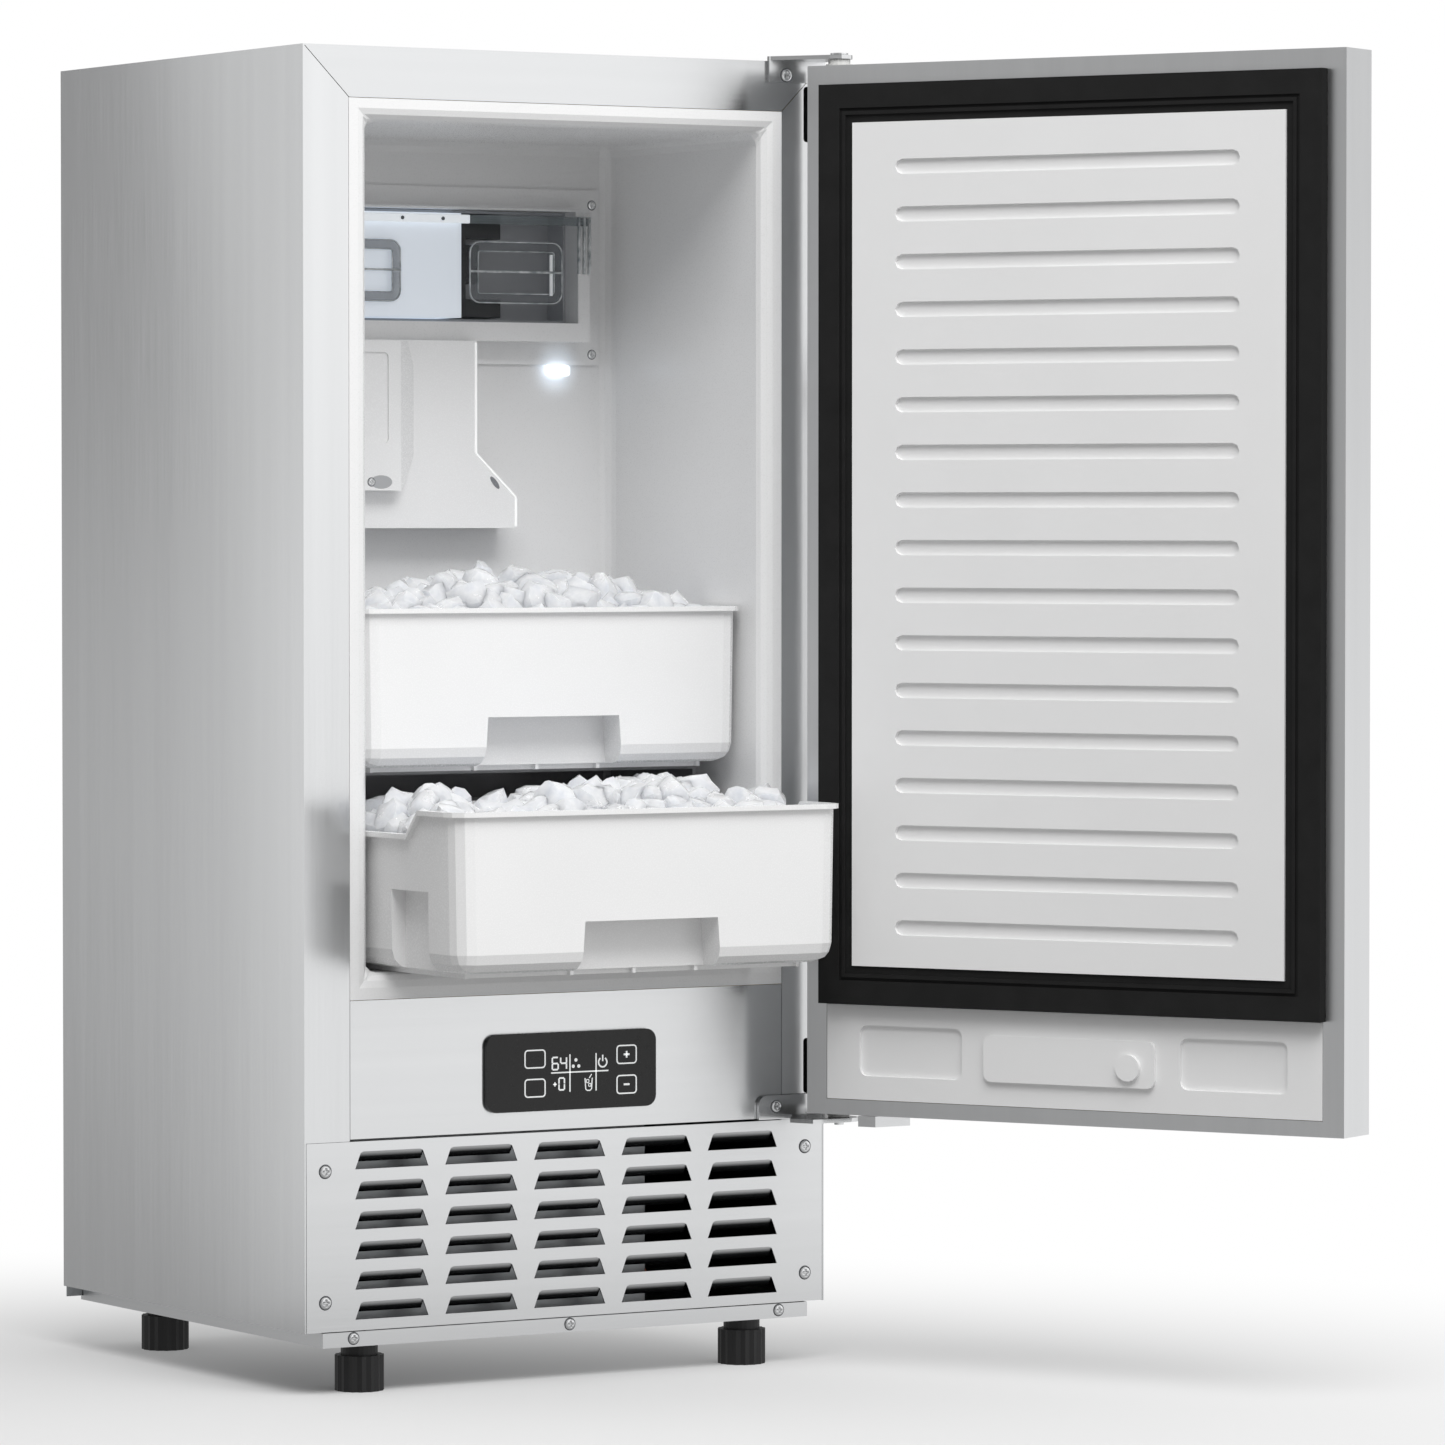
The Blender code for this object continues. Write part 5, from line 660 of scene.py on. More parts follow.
class ICEMAKER_OT_ice(bpy.types.Operator):
    """Heap nugget ice in both bins"""
    bl_idname = "icemaker.ice"
    bl_label = "Ice"

    def execute(self, context):
        sizes = context.scene.ice_maker_ice
        look = frosted_ice(tuple(sizes.tint))
        for name, node, body, above, ridge, seed in (
                ("upper_ice", "upper_bin", "upper_bin_body", "ice_chute", UPPER_RIDGE, sizes.seed),
                ("lower_ice", "lower_bin", "lower_bin_body", "upper_bin", LOWER_RIDGE, sizes.seed + 4)):
            corner_low, corner_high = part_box(node)
            low = (corner_low.x + BIN_LIP + BIN_SIDE, corner_low.y + BIN_LIP + BIN_END)
            high = (corner_high.x - BIN_LIP - BIN_SIDE, corner_high.y - BIN_LIP - BIN_END)
            rim = corner_high.z
            made = heap(name, np.random.default_rng(seed), low, high, crown_of(low, high, rim, ridge), sizes,
                        corner_low.z + ABOVE_RECESSES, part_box(above)[0].z - 0.6 * MM)
            put_on(made, body, look)
            made.data.set_sharp_from_angle(angle=math.radians(34))
            if node == "lower_bin":
                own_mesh(made)
        return {'FINISHED'}


# Trim

# A screw head's corners in a ring, and its rings' distances from its middle as shares of its radius
HEAD_SECTORS = 32
HEAD_RINGS = (0.001, 0.14, 0.20, 0.26, 0.34, 0.46, 0.56, 0.62, 0.72, 0.84, 0.93, 0.985, 1.0)
# Screws: millimetres across and up, and their size beside a panel screw's
GRILLE_ACROSS, GRILLE_UPS = 173.2, (99.0, 18.4)
TRAY_ACROSS, TRAY_UP, TRAY_SIZE = 153.6, -4.4, 0.9
MODULE_ACROSS, MODULE_UPS, MODULE_SIZE = 126.3, (702.6, 605.3), 0.72
UPPER_HINGE_SCREW, LOWER_HINGE_SCREW = (157.4, 778.7, 1.0), (149.9, 125.6, 0.9)
CHUTE_SCREW = (-56.6, 521.7, 0.65)
# A painted contact shadow round a screw's head, as shares of its head's radius and rise
SHADOW_REACH, SHADOW_RISE = 1.16, 0.12


def screw_head(centre, radius, rise):
    """A pan head with a cross recess, as a grid of turn and distance from the middle: height is the rise
    times the root of one less the fourth power of the distance share, less the recess depth inside two
    crossed bars."""
    turn = (np.arange(HEAD_SECTORS) / HEAD_SECTORS * 2 * math.pi)[None, :]
    share = np.array(HEAD_RINGS)[:, None]
    x, z = share * np.cos(turn), share * np.sin(turn)
    bars = [(1 - smooth_step(np.abs(wide), 0.10, 0.17)) * (1 - smooth_step(np.abs(long), 0.50, 0.60))
            for wide, long in ((x, z), (z, x))]
    height = np.sqrt(np.clip(1 - share ** 4, 0, 1)) * 0.8 + 0.2 - 0.62 * np.maximum(*bars)
    top = np.stack((radius * x, -height * rise, radius * z), -1)
    skirt = np.stack((radius * np.cos(turn), 0 * turn, radius * np.sin(turn)), -1)
    points = np.concatenate((top, skirt, skirt * (0.001, 0, 0.001))) + np.asarray(centre)
    return points, quads(len(points), HEAD_SECTORS).tolist()


def oval(centre, halves, lean, rise):
    """A flat oval plate that stands on its back plane, as a grid of its turn and four rings: the middle and
    the rim at the back, then the rim a little in and the middle at the front."""
    sectors = 28
    turn = np.linspace(0.0, 2 * math.pi, sectors, endpoint=False)
    points = np.stack([np.stack((halves[0] * size * np.cos(turn), np.full(sectors, -up),
                                 halves[1] * size * np.sin(turn)), -1)
                       for size, up in ((0.001, 0.0), (1.0, 0.0), (0.94, rise), (0.001, rise))])
    across = points[..., 0] * math.cos(lean) - points[..., 2] * math.sin(lean)
    up = points[..., 0] * math.sin(lean) + points[..., 2] * math.cos(lean)
    return np.stack((across, points[..., 1], up), -1) + np.asarray(centre), quads(4, sectors).tolist()


class ICEMAKER_OT_screws(bpy.types.Operator):
    """Set the screw heads on the grille, the base, the hinges, the module and the chute"""
    bl_idname = "icemaker.screws"
    bl_label = "Screws"

    def execute(self, context):
        trim = context.scene.ice_maker_trim
        radius, rise = trim.screw_radius, trim.screw_rise
        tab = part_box("upper_hinge_bracket")[1].y - 2.5 * MM
        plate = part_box("module_frame")[1].y - 2.4 * MM
        grille, tray, cap = (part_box(name)[0].y for name in ("grille_panel", "base_tray", "ice_chute"))
        rows = []
        for side in (-1, 1):
            rows += [(side * GRILLE_ACROSS, up, 1.0, grille) for up in GRILLE_UPS]
            rows.append((side * TRAY_ACROSS, TRAY_UP, TRAY_SIZE, tray))
        rows += [(0.0, TRAY_UP, TRAY_SIZE, tray), (*UPPER_HINGE_SCREW, tab), (*LOWER_HINGE_SCREW, tab)]
        rows += [(side * MODULE_ACROSS, up, MODULE_SIZE, plate) for side in (-1, 1) for up in MODULE_UPS]
        rows.append((*CHUTE_SCREW, cap))
        heads, shadow_rings = [], []
        for across, up, size, plane in rows:
            centre = spot(across, 0.0, up)
            centre[1] = plane
            heads.append(screw_head(centre, radius * size, rise * size))
            # Painted shadow: a dark oval behind each head stands in for its contact shadow
            shadow_rings.append(oval(centre, (SHADOW_REACH * radius * size,) * 2, 0.0, SHADOW_RISE * rise))
        steel = brushed_steel("screw_steel", tuple(context.scene.ice_maker_finishes.steel), "across")
        piece("screw_heads", heads, "cabinet", steel, smooth=True)
        piece("screw_shadow_rings", shadow_rings, "cabinet", moulded_plastic("screw_painted_shadow", linear("55575A"), 0.5))
        return {'FINISHED'}


class ICEMAKER_OT_signs(bpy.types.Operator):
    """Print the signs and digits on the touch panel"""
    bl_idname = "icemaker.signs"
    bl_label = "Panel signs"

    def execute(self, context):
        trim = context.scene.ice_maker_trim
        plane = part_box("touch_panel")[0].y
        half, rise = trim.print_width / 2, trim.print_rise
        strokes = []

        def stroke(points, width=1.0, closed=False):
            """A flat line through points given in millimetres from the middle line and the lower edge."""
            flat = np.asarray(points, float)
            path = np.stack([MIDDLE + flat[:, 0] * MM, np.full(len(flat), plane), BASE + flat[:, 1] * MM], -1)
            profile = np.array(((-half, 0.02 * MM), (half, 0.02 * MM), (half, -rise), (-half, -rise)))
            profile[:, 0] *= width
            strokes.append(swept(path, profile, closed))

        def line(start, end, width=1.0):
            stroke((start, end), width)

        def ring(centre, radius, start=0.0, end=360.0, width=1.0):
            whole = abs(end - start) >= 360.0
            angle = np.radians(np.linspace(start, end, 28, endpoint=not whole))
            stroke(np.asarray(centre) + radius * np.stack((np.cos(angle), np.sin(angle)), -1), width,
                   closed=whole)

        # Four key frames, three dividers, then plus and minus
        for low, high in (((-33.8, 157.1), (-19.4, 168.0)), ((-33.8, 139.0), (-19.4, 149.9)),
                          ((32.6, 157.4), (46.6, 168.6)), ((32.6, 138.6), (46.6, 149.8))):
            stroke(rounded_loop(low, high, 2.0), closed=True)
        line((-15.1, 153.4), (26.3, 153.4))
        line((-1.5, 141.2), (-1.5, 164.6))
        line((17.4, 141.2), (17.4, 164.6))
        line((37.5, 163.0), (41.7, 163.0), 1.4)
        line((39.6, 160.9), (39.6, 165.1), 1.4)
        line((37.5, 144.2), (41.7, 144.2), 1.4)
        # Digits with a small plus, the power sign, three dots, and a cup with two pieces of ice and a straw
        self.digit(stroke, 6, (-14.2, 155.4), (4.2, 7.6))
        self.digit(stroke, 4, (-8.2, 155.4), (4.2, 7.6))
        self.digit(stroke, 0, (-9.4, 142.6), (3.9, 7.4))
        line((-13.6, 146.2), (-11.0, 146.2))
        line((-12.3, 144.9), (-12.3, 147.5))
        ring((22.2, 158.8), 3.0, 125.0, 415.0, 1.15)
        line((22.2, 159.4), (22.2, 163.4), 1.15)
        for place in ((2.8, 160.9), (0.9, 157.0), (4.9, 157.0)):
            ring(place, 0.55, width=1.25)
        stroke(((9.4, 149.3), (9.9, 142.4), (10.9, 141.5), (13.1, 141.5), (14.1, 142.4), (14.6, 149.3)), 0.85)
        stroke(rounded_loop((10.4, 146.4), (12.2, 148.3), 0.4, 3), 0.6, closed=True)
        stroke(rounded_loop((12.0, 144.0), (13.6, 145.8), 0.4, 3), 0.6, closed=True)
        line((12.4, 149.2), (14.2, 151.6), 0.8)
        look = lit("lit_print", "E4E6E6", 0.55, "E4E6E6")
        surface(look)[1].inputs["Base Color"].default_value = (*context.scene.ice_maker_finishes.signs, 1.0)
        piece("panel_signs", strokes, "cabinet", look)
        return {'FINISHED'}

    @staticmethod
    def digit(stroke, number, corner, size):
        """A seven-bar digit, its bars set in from its corners."""
        x0, z0 = corner
        x1, z1 = x0 + size[0], z0 + size[1]
        middle = (z0 + z1) / 2
        bars = {"a": ((x0, z1), (x1, z1)), "b": ((x1, z1), (x1, middle)), "c": ((x1, middle), (x1, z0)),
                "d": ((x0, z0), (x1, z0)), "e": ((x0, z0), (x0, middle)), "f": ((x0, middle), (x0, z1)),
                "g": ((x0, middle), (x1, middle))}
        lit_bars = {0: "abcdef", 4: "bcfg", 6: "acdefg"}[number]
        for bar in lit_bars:
            first, second = (np.array(end) for end in bars[bar])
            pull = 0.22 * (second - first) / np.linalg.norm(second - first)
            stroke((first + pull, second - pull), 1.2)


class ICEMAKER_OT_jamb(bpy.types.Operator):
    """Line the two slots of the right jamb with a black channel, a painted shade for the shadow in the slots
    """
    bl_idname = "icemaker.jamb"
    bl_label = "Jamb channels"

    def execute(self, context):
        side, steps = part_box("right_side_panel"), 5
        inside, x = side[0].y + 1.3 * MM, side[1].x - 11.5 * MM
        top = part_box("top_panel")[1].z - 33.0 * MM
        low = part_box("grille_panel")[1].z + 34.0 * MM
        half_height, outer, inner, deep, sheet = 19.5 * MM, 5.6 * MM, 4.8 * MM, 7.0 * MM, 0.8 * MM
        channel = np.array(((-outer, 0.0), (-inner, 0.0), (-inner, deep - sheet), (inner, deep - sheet),
                            (inner, 0.0), (outer, 0.0), (outer, deep), (-outer, deep)))
        runs = []
        for middle in (top, low):
            heights = np.linspace(middle - half_height, middle + half_height, steps)
            path = np.stack((np.full(steps, x), np.full(steps, inside), heights), -1)
            runs.append(swept(path, channel * (-1, 1)))
        # Painted shade: the black channel stands in for the shadow inside the two slots
        piece("jamb_channels", runs, "cabinet", moulded_plastic("slot_shade_black", linear("121212"), 0.5))
        return {'FINISHED'}


def bar_profile(width, rise):
    """A flat bar's outline for swept: it stands on its face with a small bevel on both front edges."""
    half = width / 2
    bevel = min(0.25 * width, 0.4 * rise)
    return np.array(((-half, 0.0), (half, 0.0), (half, bevel - rise), (half - bevel, -rise),
                     (bevel - half, -rise), (-half, bevel - rise)))


def bar(start, end, width, rise):
    """A bevelled bar that runs straight from start to end, its width and rise in millimetres."""
    return swept((start, end), bar_profile(width * MM, rise * MM))


def bright_edge():
    """A polished edge of polycarbonate: half clear and glossy, painted pale for the highlights along the
    grips' edges.
    """
    made, tree, shader = finish("polished_edge_painted_highlight", {"IOR": 1.585, "Roughness": 0.08, "Alpha": 0.8})
    flow = spread(tree, pattern(tree, NOISE, 160.0, Detail=2.0).outputs["Fac"], 0.0, 1.0)
    drive(tree, shader, {"Base Color": blended(tree, flow, linear("A2AAAE"), linear("FAFCFD"))})
    return made


def smoked_edge():
    """Polycarbonate seen edge on: half clear, painted grey for the shade of the dark cavity behind it, with
    faint lines of flow along the bar.
    """
    made, tree, shader = finish("polycarbonate_edge", {"IOR": 1.585, "Roughness": 0.10, "Alpha": 0.55})
    flow = pattern(tree, NOISE, (12.0, 12.0, 900.0), Detail=2.0).outputs["Fac"]
    drive(tree, shader, {"Base Color": blended(tree, flow, linear("3A4043"), linear("A4B0B4"))})
    return made


# The cover's grips in millimetres: from the middle line, up from the cover's lower edge, and their corners
GRIP_ACROSS, GRIP_UP, GRIP_CORNER = (25.2, 94.4), (11.5, 51.5), 7.5
# A grip's outline is drawn as a wide slope and two beads: inset, width and rise in millimetres
GRIP_SLOPE, GRIP_BEADS = (3.4, 5.6, 0.35), ((0.4, 0.9, 0.8), (6.4, 0.7, 0.7))


class ICEMAKER_OT_module(bpy.types.Operator):
    """Rim the clear cover's two grips and set the dark bracket in the cavity behind it"""
    bl_idname = "icemaker.module"
    bl_label = "Module details"

    def execute(self, context):
        low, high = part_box("module_cover")
        front = low.y + 3.0 * MM

        def at(across, up):
            """A place on the cover's front, in millimetres from the middle line and its lower edge."""
            return MIDDLE + across * MM, front, low.z + up * MM

        bands, beads = [], []
        for side in (-1, 1):
            left, right = sorted((side * GRIP_ACROSS[0] * MM, side * GRIP_ACROSS[1] * MM))
            corners = ((MIDDLE + left, low.z + GRIP_UP[0] * MM), (MIDDLE + right, low.z + GRIP_UP[1] * MM))
            for (inset, width, rise), kept in ((GRIP_SLOPE, bands), (GRIP_BEADS[0], beads),
                                               (GRIP_BEADS[1], beads)):
                inner = [(x + sign * inset * MM, z + sign * inset * MM)
                         for (x, z), sign in zip(corners, (1, -1))]
                flat = rounded_loop(*inner, max(GRIP_CORNER - inset, 1.5) * MM)
                path = np.stack((flat[:, 0], np.full(len(flat), front), flat[:, 1]), -1)
                half, rise = width / 2 * MM, rise * MM
                profile = np.array(((-half, 0.0), (half, 0.0), (0.7 * half, -rise), (-0.7 * half, -rise)))
                kept.append(swept(path, profile, closed=True))
        # A rib across each grip, then the three prongs of the end clip
        for start, end in ((25.6, 94.0), (-94.0, -25.6)):
            beads.append(bar(at(start, 32.0), at(end, 32.0), 1.5, 1.3))
        for across in (106.4, 110.4, 114.2):
            beads.append(bar(at(across, 31.5), at(across, 68.5), 1.4, 2.2))
        # Painted highlight: a glowing bar on the right grip's slope stands in for a lamp's reflection
        piece("grip_gleam", [bar(at(85.9, 17.0), at(85.9, 43.5), 2.2, 0.9)], "cover",
              lit("gleam_painted_highlight", "F4F7F8", 0.10, "F4F8FA"))
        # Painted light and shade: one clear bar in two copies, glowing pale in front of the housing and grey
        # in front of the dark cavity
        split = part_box("outlet_housing")[1].x + 3.5 * MM
        up = high.z - 8.0 * MM
        for name, start, end, look in (
                ("cover_bar_left", low.x + 2 * MM, split, lit("bar_painted_glow", "F2F5F7", 0.40, "EEF4FA")),
                ("cover_bar_right", split, high.x - 2 * MM, smoked_edge())):
            piece(name, [bar((start, front, up), (end, front, up), 5.6, 1.6)], "cover", look)
        studs = [screw_head((MIDDLE + across * MM, front - 1.6 * MM, up), 1.3 * MM, 0.5 * MM)
                 for across in (-24.7, 5.0)]
        piece("cover_studs", studs, "cover", moulded_plastic("stud_grey", linear("6E7376"), 0.3),
              smooth=True)
        # Painted shade: a grey, half clear band stands in for how each grip's sloped wall darkens what lies
        # behind it
        haze = finish("grip_slope_painted_shade", {"Base Color": linear("7C8084"), "Roughness": 0.15,
                                          "Alpha": 0.42})[0]
        piece("grip_slopes", bands, "cover", haze)
        piece("grip_beads", beads, "cover", bright_edge(), smooth=True)
        self.bracket()
        return {'FINISHED'}

    @staticmethod
    def bracket():
        """The dark bracket in the cavity: an outline with two arms and a stub, carried from back to front."""
        low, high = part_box("module_cavity")
        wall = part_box("outlet_housing")[1].x + 1.0 * MM
        top, floor = high.z - 3.0 * MM, low.z + 3.0 * MM
        arm, stub, web = 38, 22, 12
        outline = np.array(((0, floor), (arm, floor), (arm, floor + 12 * MM), (web, floor + 12 * MM),
                            (web, floor + 22 * MM), (stub, floor + 22 * MM), (stub, floor + 47 * MM),
                            (web, floor + 47 * MM), (web, top - 15 * MM), (arm, top - 15 * MM),
                            (arm, top), (0, top)))
        outline[:, 0] = wall + outline[:, 0] * MM
        count = len(outline)
        points = np.stack([np.stack((outline[:, 0], np.full(count, y), outline[:, 1]), -1)
                           for y in (low.y + 4.0 * MM, high.y - 3.5 * MM)])
        faces = quads(2, count).tolist() + [list(range(count)), list(range(2 * count - 1, count - 1, -1))]
        made = mesh_object("cavity_bracket", points, faces)
        edge = made.modifiers.new("eased_edges", 'BEVEL')
        edge.width, edge.segments = 0.6 * MM, 2
        put_on(made, "cabinet", moulded_plastic("bracket_black", linear("1A1B1D"), 0.4), smooth=False)


# The chute's right edge in millimetres from the right side and the lower edge of its box, top to bottom
CHUTE_EDGE = ((-30.6, 119.0), (-30.6, 48.6), (-29.4, 46.8), (-1.6, 20.2), (-1.0, 18.6), (-1.0, 1.0))


class ICEMAKER_OT_chute(bpy.types.Operator):
    """Trim the chute: a painted highlight along its right edge, and grey ovals painted for the shade in the
    sensor's shallow hollow and in the hollow round its screw
    """
    bl_idname = "icemaker.chute"
    bl_label = "Chute details"

    def execute(self, context):
        low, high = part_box("ice_chute")
        cap, face = low.y, high.y - 26.0 * MM
        edge = np.array(CHUTE_EDGE) * MM
        path = np.stack((high.x + edge[:, 0], np.full(len(edge), face), low.z + edge[:, 1]), -1)
        # Painted highlight: a glowing white bar along the right edge stands in for the light on its rounded
        # edge
        piece("chute_edge", [swept(path, bar_profile(1.4 * MM, 0.7 * MM))], "cabinet",
              lit("chute_edge_painted_highlight", "FAFAFA", 0.30, "FFFFFF"))
        # Painted shade: a flat grey oval stands in for the shade in a shallow oval hollow
        sensor_hollow = oval((high.x - 16.6 * MM, face, low.z + 29.2 * MM), (1.7 * MM, 5.0 * MM), math.radians(40),
                      0.3 * MM)
        piece("sensor_hollow_shade", [sensor_hollow], "cabinet", moulded_plastic("sensor_hollow_grey", linear("84868A"), 0.25))
        # Painted shade: a grey oval round the screw stands in for the shade in the hollow it sits in
        hollow = oval((MIDDLE - 49.5 * MM, cap, BASE + CHUTE_SCREW[1] * MM), (8.0 * MM, 4.3 * MM), 0.0,
                      0.15 * MM)
        piece("painted_hollow_shade", [hollow], "cabinet", moulded_plastic("hollow_shade", linear("B4B5B7"), 0.45))
        return {'FINISHED'}


# Studio

# Lamps: places and sizes in metres, what they look at, and by how much the room lights matt faces and steel,
# each row a direction, the two cosines between which its lobe grows, and the lobe's gain
KEY_PLACE, KEY_SIZE = (-0.63, -1.70, 3.00), (2.4, 2.0)
SIDE_PLACE, SIDE_SIZE = (-0.780, 0.53, 0.68), (0.60, 1.5)
LAMP_AIM = (MIDDLE, 0.15, 0.45)
MATT_LOBES = (((0.0, 0.0, 1.0), 0.10, 1.0, 0.45), ((0.60, -0.76, 0.25), 0.5, 0.95, 0.75))
WALL_LOBES = (((0.52, -0.85, 0.02), 0.55, 0.96, 0.92), ((1.0, -0.05, 0.0), 0.72, 0.98, 0.34),
              ((-1.0, 0.1, 0.0), 0.85, 1.0, 0.12), ((0.0, 0.0, 1.0), 0.3, 1.0, 0.5))
# Camera: its place in millimetres, its dip and turn in degrees, and its focal length and frame in pixels
CAMERA_PLACE, CAMERA_DIP, CAMERA_TURN = (-2292.1, -3927.0, 501.6), 1.640, -31.473
FOCAL_PIXELS, FRAME_PIXELS, SENSOR = 7298.15, 1445, 36.0
WHITE = (1.0, 1.0, 1.0, 1.0)


class ICEMAKER_OT_studio(bpy.types.Operator):
    """Set the pale floor, the soft light and the camera at the photograph's angle"""
    bl_idname = "icemaker.studio"
    bl_label = "Studio"

    def execute(self, context):
        studio = context.scene.ice_maker_studio
        self.floor(tuple(studio.floor))
        self.room(context.scene, studio.base_level, studio.mirror_level)
        self.lamp(context.scene, "key_lamp", KEY_PLACE, KEY_SIZE, studio.key_power, "visible_glossy")
        self.lamp(context.scene, "side_lamp", SIDE_PLACE, SIDE_SIZE, studio.side_power, "visible_diffuse")
        self.camera(context.scene)
        return {'FINISHED'}

    @staticmethod
    def floor(tone):
        """The floor is a disc on a grid of distance and turn; the distance grows by equal ratios. The camera
        sees paper that fades to white with distance, matt faces get a grey bounce, and steel mirrors a floor
        that is bright ahead of the cabinet and, behind it, at the left."""
        reach = np.concatenate(([0.0], np.geomspace(0.4, 400.0, 40)))[:, None]
        turn = (np.arange(64) / 64 * 2 * math.pi)[None, :]
        points = np.stack((reach * np.cos(turn), reach * np.sin(turn), 0 * reach * turn), -1)
        made = mesh_object("floor", points, quads(41, 64).tolist())
        look = bpy.data.materials.new("matt_studio_paper")
        look.use_nodes = True
        tree = look.node_tree
        tree.nodes.clear()
        tint = blended(tree, pattern(tree, NOISE, 90.0).outputs["Fac"], shade(tone, 0.995), tone)
        paper = add(tree, 'ShaderNodeBsdfDiffuse', inputs={"Color": tint})
        bounce = add(tree, 'ShaderNodeBsdfDiffuse', inputs={"Color": (0.36, 0.36, 0.36, 1.0)})
        place = add(tree, 'ShaderNodeTexCoord').outputs["Object"]
        ahead, aside = (add(tree, VECTOR, {"operation": 'DOT_PRODUCT'}, {0: place, 1: way}).outputs["Value"]
                        for way in ((0.52, -0.85, 0.0), (-0.89, -0.457, 0.0)))
        deep = add(tree, 'ShaderNodeSeparateXYZ', inputs={"Vector": place}).outputs["Y"]
        left = add(tree, 'ShaderNodeMath', {"operation": 'MULTIPLY'},
                   {0: spread(tree, aside, 0.0, 0.78, 0.04, 0.34, EASED),
                    1: spread(tree, deep, 0.0, 1.0, 0.2, 0.5, EASED)})
        level = add(tree, 'ShaderNodeMath', {"operation": 'MAXIMUM'},
                    {0: spread(tree, ahead, 0.39, 1.0, -0.2, 0.9, EASED), 1: left.outputs[0]})
        mirrored = add(tree, 'ShaderNodeEmission', inputs={"Strength": level.outputs[0]})
        white = add(tree, 'ShaderNodeEmission', inputs={"Color": WHITE, "Strength": 1.0})
        away = add(tree, VECTOR, {"operation": 'DISTANCE'}, {0: place, 1: (-0.52, -0.32, 0.0)})
        far = spread(tree, away.outputs["Value"], 0.0, 1.0, 0.4, 1.35, EASED)
        ray = add(tree, 'ShaderNodeLightPath').outputs
        both = paper
        for share, other in ((far, white), (ray["Is Diffuse Ray"], bounce), (ray["Is Glossy Ray"], mirrored)):
            both = add(tree, 'ShaderNodeMixShader', inputs={0: share, 1: both.outputs[0],
                                                            2: other.outputs[0]})
        look.cycles.emission_sampling = 'NONE'
        drive(tree, add(tree, 'ShaderNodeOutputMaterial'), {"Surface": both.outputs[0]})
        made.data.materials.append(look)

    @staticmethod
    def lobes(tree, level, rows):
        """Light by direction: an even level, and for each row a lobe round a direction, which grows smoothly
        between two cosines up to its gain."""
        place = add(tree, 'ShaderNodeTexCoord').outputs["Generated"]
        total = level
        for towards, start, end, gain in rows:
            facing = add(tree, VECTOR, {"operation": 'DOT_PRODUCT'},
                         {0: place, 1: tuple(Vector(towards).normalized())})
            lobe = spread(tree, facing.outputs["Value"], 0.0, gain, start, end, EASED)
            total = add(tree, 'ShaderNodeMath', {"operation": 'ADD'}, {0: total, 1: lobe}).outputs[0]
        return add(tree, 'ShaderNodeBackground', inputs={"Color": WHITE, "Strength": total})

    def room(self, scene, level, mirror):
        """The room by kind of ray: matt faces are lit evenly, from above and from the front right. Steel
        mirrors a lit wall at the front right, a weaker one at the right and a dim room elsewhere, and steel
        seen in steel stays dark. The camera sees plain white."""
        world = bpy.data.worlds.new("studio_room")
        scene.world = world
        world.use_nodes = True
        world.cycles.sampling_method = 'NONE'
        tree = world.node_tree
        tree.nodes.clear()
        ray = add(tree, 'ShaderNodeLightPath').outputs
        again = add(tree, 'ShaderNodeMath', {"operation": 'GREATER_THAN'}, {0: ray["Glossy Depth"], 1: 1.5})
        direct = add(tree, 'ShaderNodeMath', {"operation": 'MAXIMUM'},
                     {0: ray["Is Camera Ray"], 1: ray["Is Transmission Ray"]})
        wall = add(tree, 'ShaderNodeMixShader', inputs={
            0: again.outputs[0], 1: self.lobes(tree, mirror, WALL_LOBES).outputs[0],
            2: self.lobes(tree, 0.2 * mirror, ()).outputs[0]})
        both = self.lobes(tree, level, MATT_LOBES)
        for share, other in ((ray["Is Glossy Ray"], wall), (direct.outputs[0], self.lobes(tree, 1.0, ()))):
            both = add(tree, 'ShaderNodeMixShader', inputs={0: share, 1: both.outputs[0],
                                                            2: other.outputs[0]})
        drive(tree, add(tree, 'ShaderNodeOutputWorld'), {"Surface": both.outputs[0]})
        scene.view_settings.view_transform = 'Standard'

    @staticmethod
    def lamp(scene, name, place, size, power, hidden):
        """A rectangular soft lamp that looks at the cabinet, unseen by the camera and by one kind of ray."""
        data = bpy.data.lights.new(name, 'AREA')
        data.shape, data.energy = 'RECTANGLE', power
        data.size, data.size_y = size
        made = bpy.data.objects.new(name, data)
        scene.collection.objects.link(made)
        made.location = place
        made.rotation_euler = (Vector(LAMP_AIM) - Vector(place)).to_track_quat('-Z', 'Y').to_euler()
        made.visible_camera = False
        setattr(made, hidden, False)

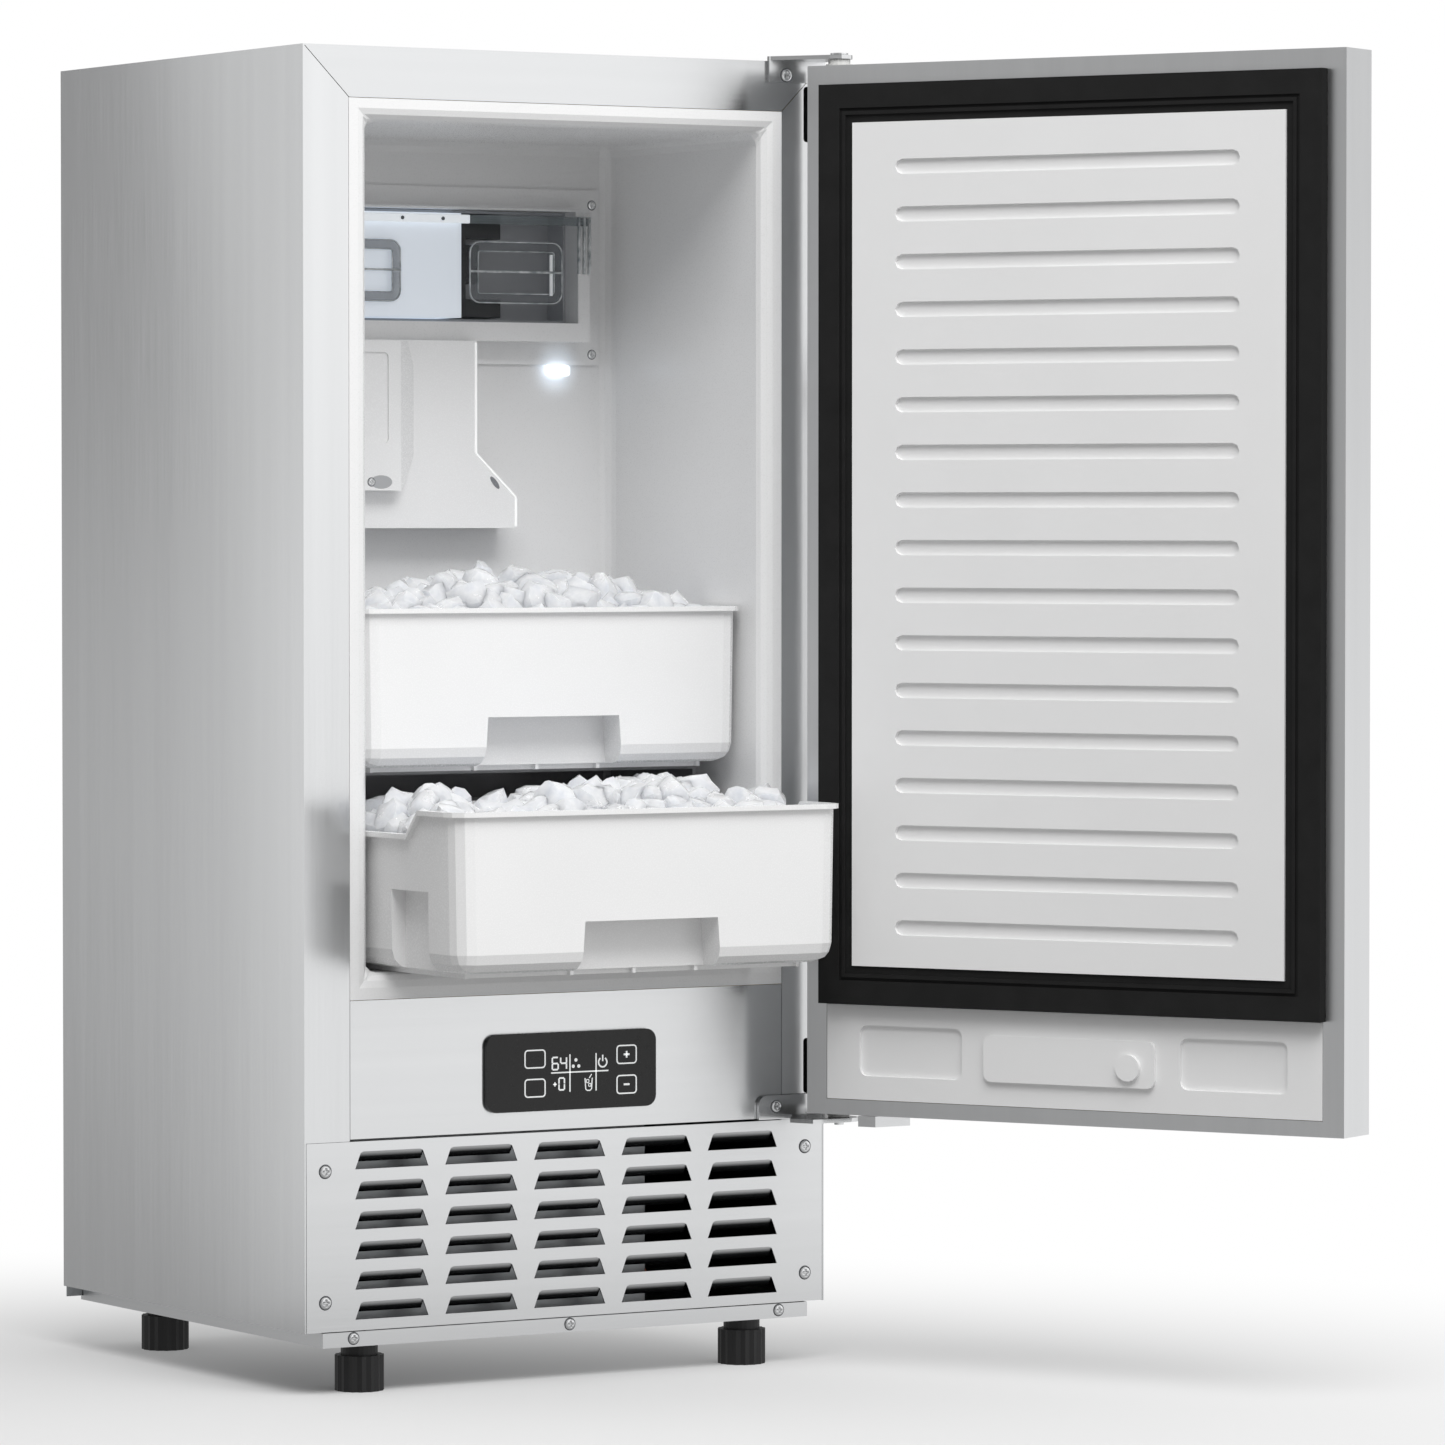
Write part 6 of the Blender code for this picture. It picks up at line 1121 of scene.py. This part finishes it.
    @staticmethod
    def camera(scene):
        """The camera's place, turn and lens follow from the cabinet's corners, the grille's slots and the
        door."""
        data = bpy.data.cameras.new("camera")
        data.sensor_width, data.lens = SENSOR, SENSOR * FOCAL_PIXELS / FRAME_PIXELS
        data.clip_end = 500.0
        made = bpy.data.objects.new("camera", data)
        scene.collection.objects.link(made)
        made.location = Vector(spot(*CAMERA_PLACE))
        made.rotation_euler = Euler((math.radians(90 - CAMERA_DIP), 0.0, math.radians(CAMERA_TURN)))
        scene.camera = made


class ICEMAKER_PT_sidebar(bpy.types.Panel):
    """Lists the steps and the sizes and colours they read"""
    bl_idname = "ICEMAKER_PT_sidebar"
    bl_label = "Ice maker"
    bl_space_type = 'VIEW_3D'
    bl_region_type = 'UI'
    bl_category = "Ice maker"

    def draw(self, context):
        for operator in OPERATORS:
            self.layout.operator(operator.bl_idname)
        for group in GROUPS:
            settings = getattr(context.scene, group)
            for name in settings.__annotations__:
                self.layout.prop(settings, name)


GROUPS = {"ice_maker_finishes": IceMakerFinishes, "ice_maker_ice": IceMakerIce,
          "ice_maker_trim": IceMakerTrim, "ice_maker_studio": IceMakerStudio}
OPERATORS = (ICEMAKER_OT_studio, ICEMAKER_OT_steel, ICEMAKER_OT_plastics, ICEMAKER_OT_machinery,
             ICEMAKER_OT_ice, ICEMAKER_OT_screws, ICEMAKER_OT_signs, ICEMAKER_OT_jamb, ICEMAKER_OT_module,
             ICEMAKER_OT_chute)


def register():
    for group, made in GROUPS.items():
        bpy.utils.register_class(made)
        setattr(bpy.types.Scene, group, PointerProperty(type=made))
    for made in (*OPERATORS, ICEMAKER_PT_sidebar):
        bpy.utils.register_class(made)


def unregister():
    for made in reversed((*OPERATORS, ICEMAKER_PT_sidebar)):
        bpy.utils.unregister_class(made)
    for group, made in GROUPS.items():
        delattr(bpy.types.Scene, group)
        bpy.utils.unregister_class(made)


def main():
    register()
    for operator in OPERATORS:
        family, step = operator.bl_idname.split(".")
        getattr(getattr(bpy.ops, family), step)()


if __name__ == "__main__":
    main()
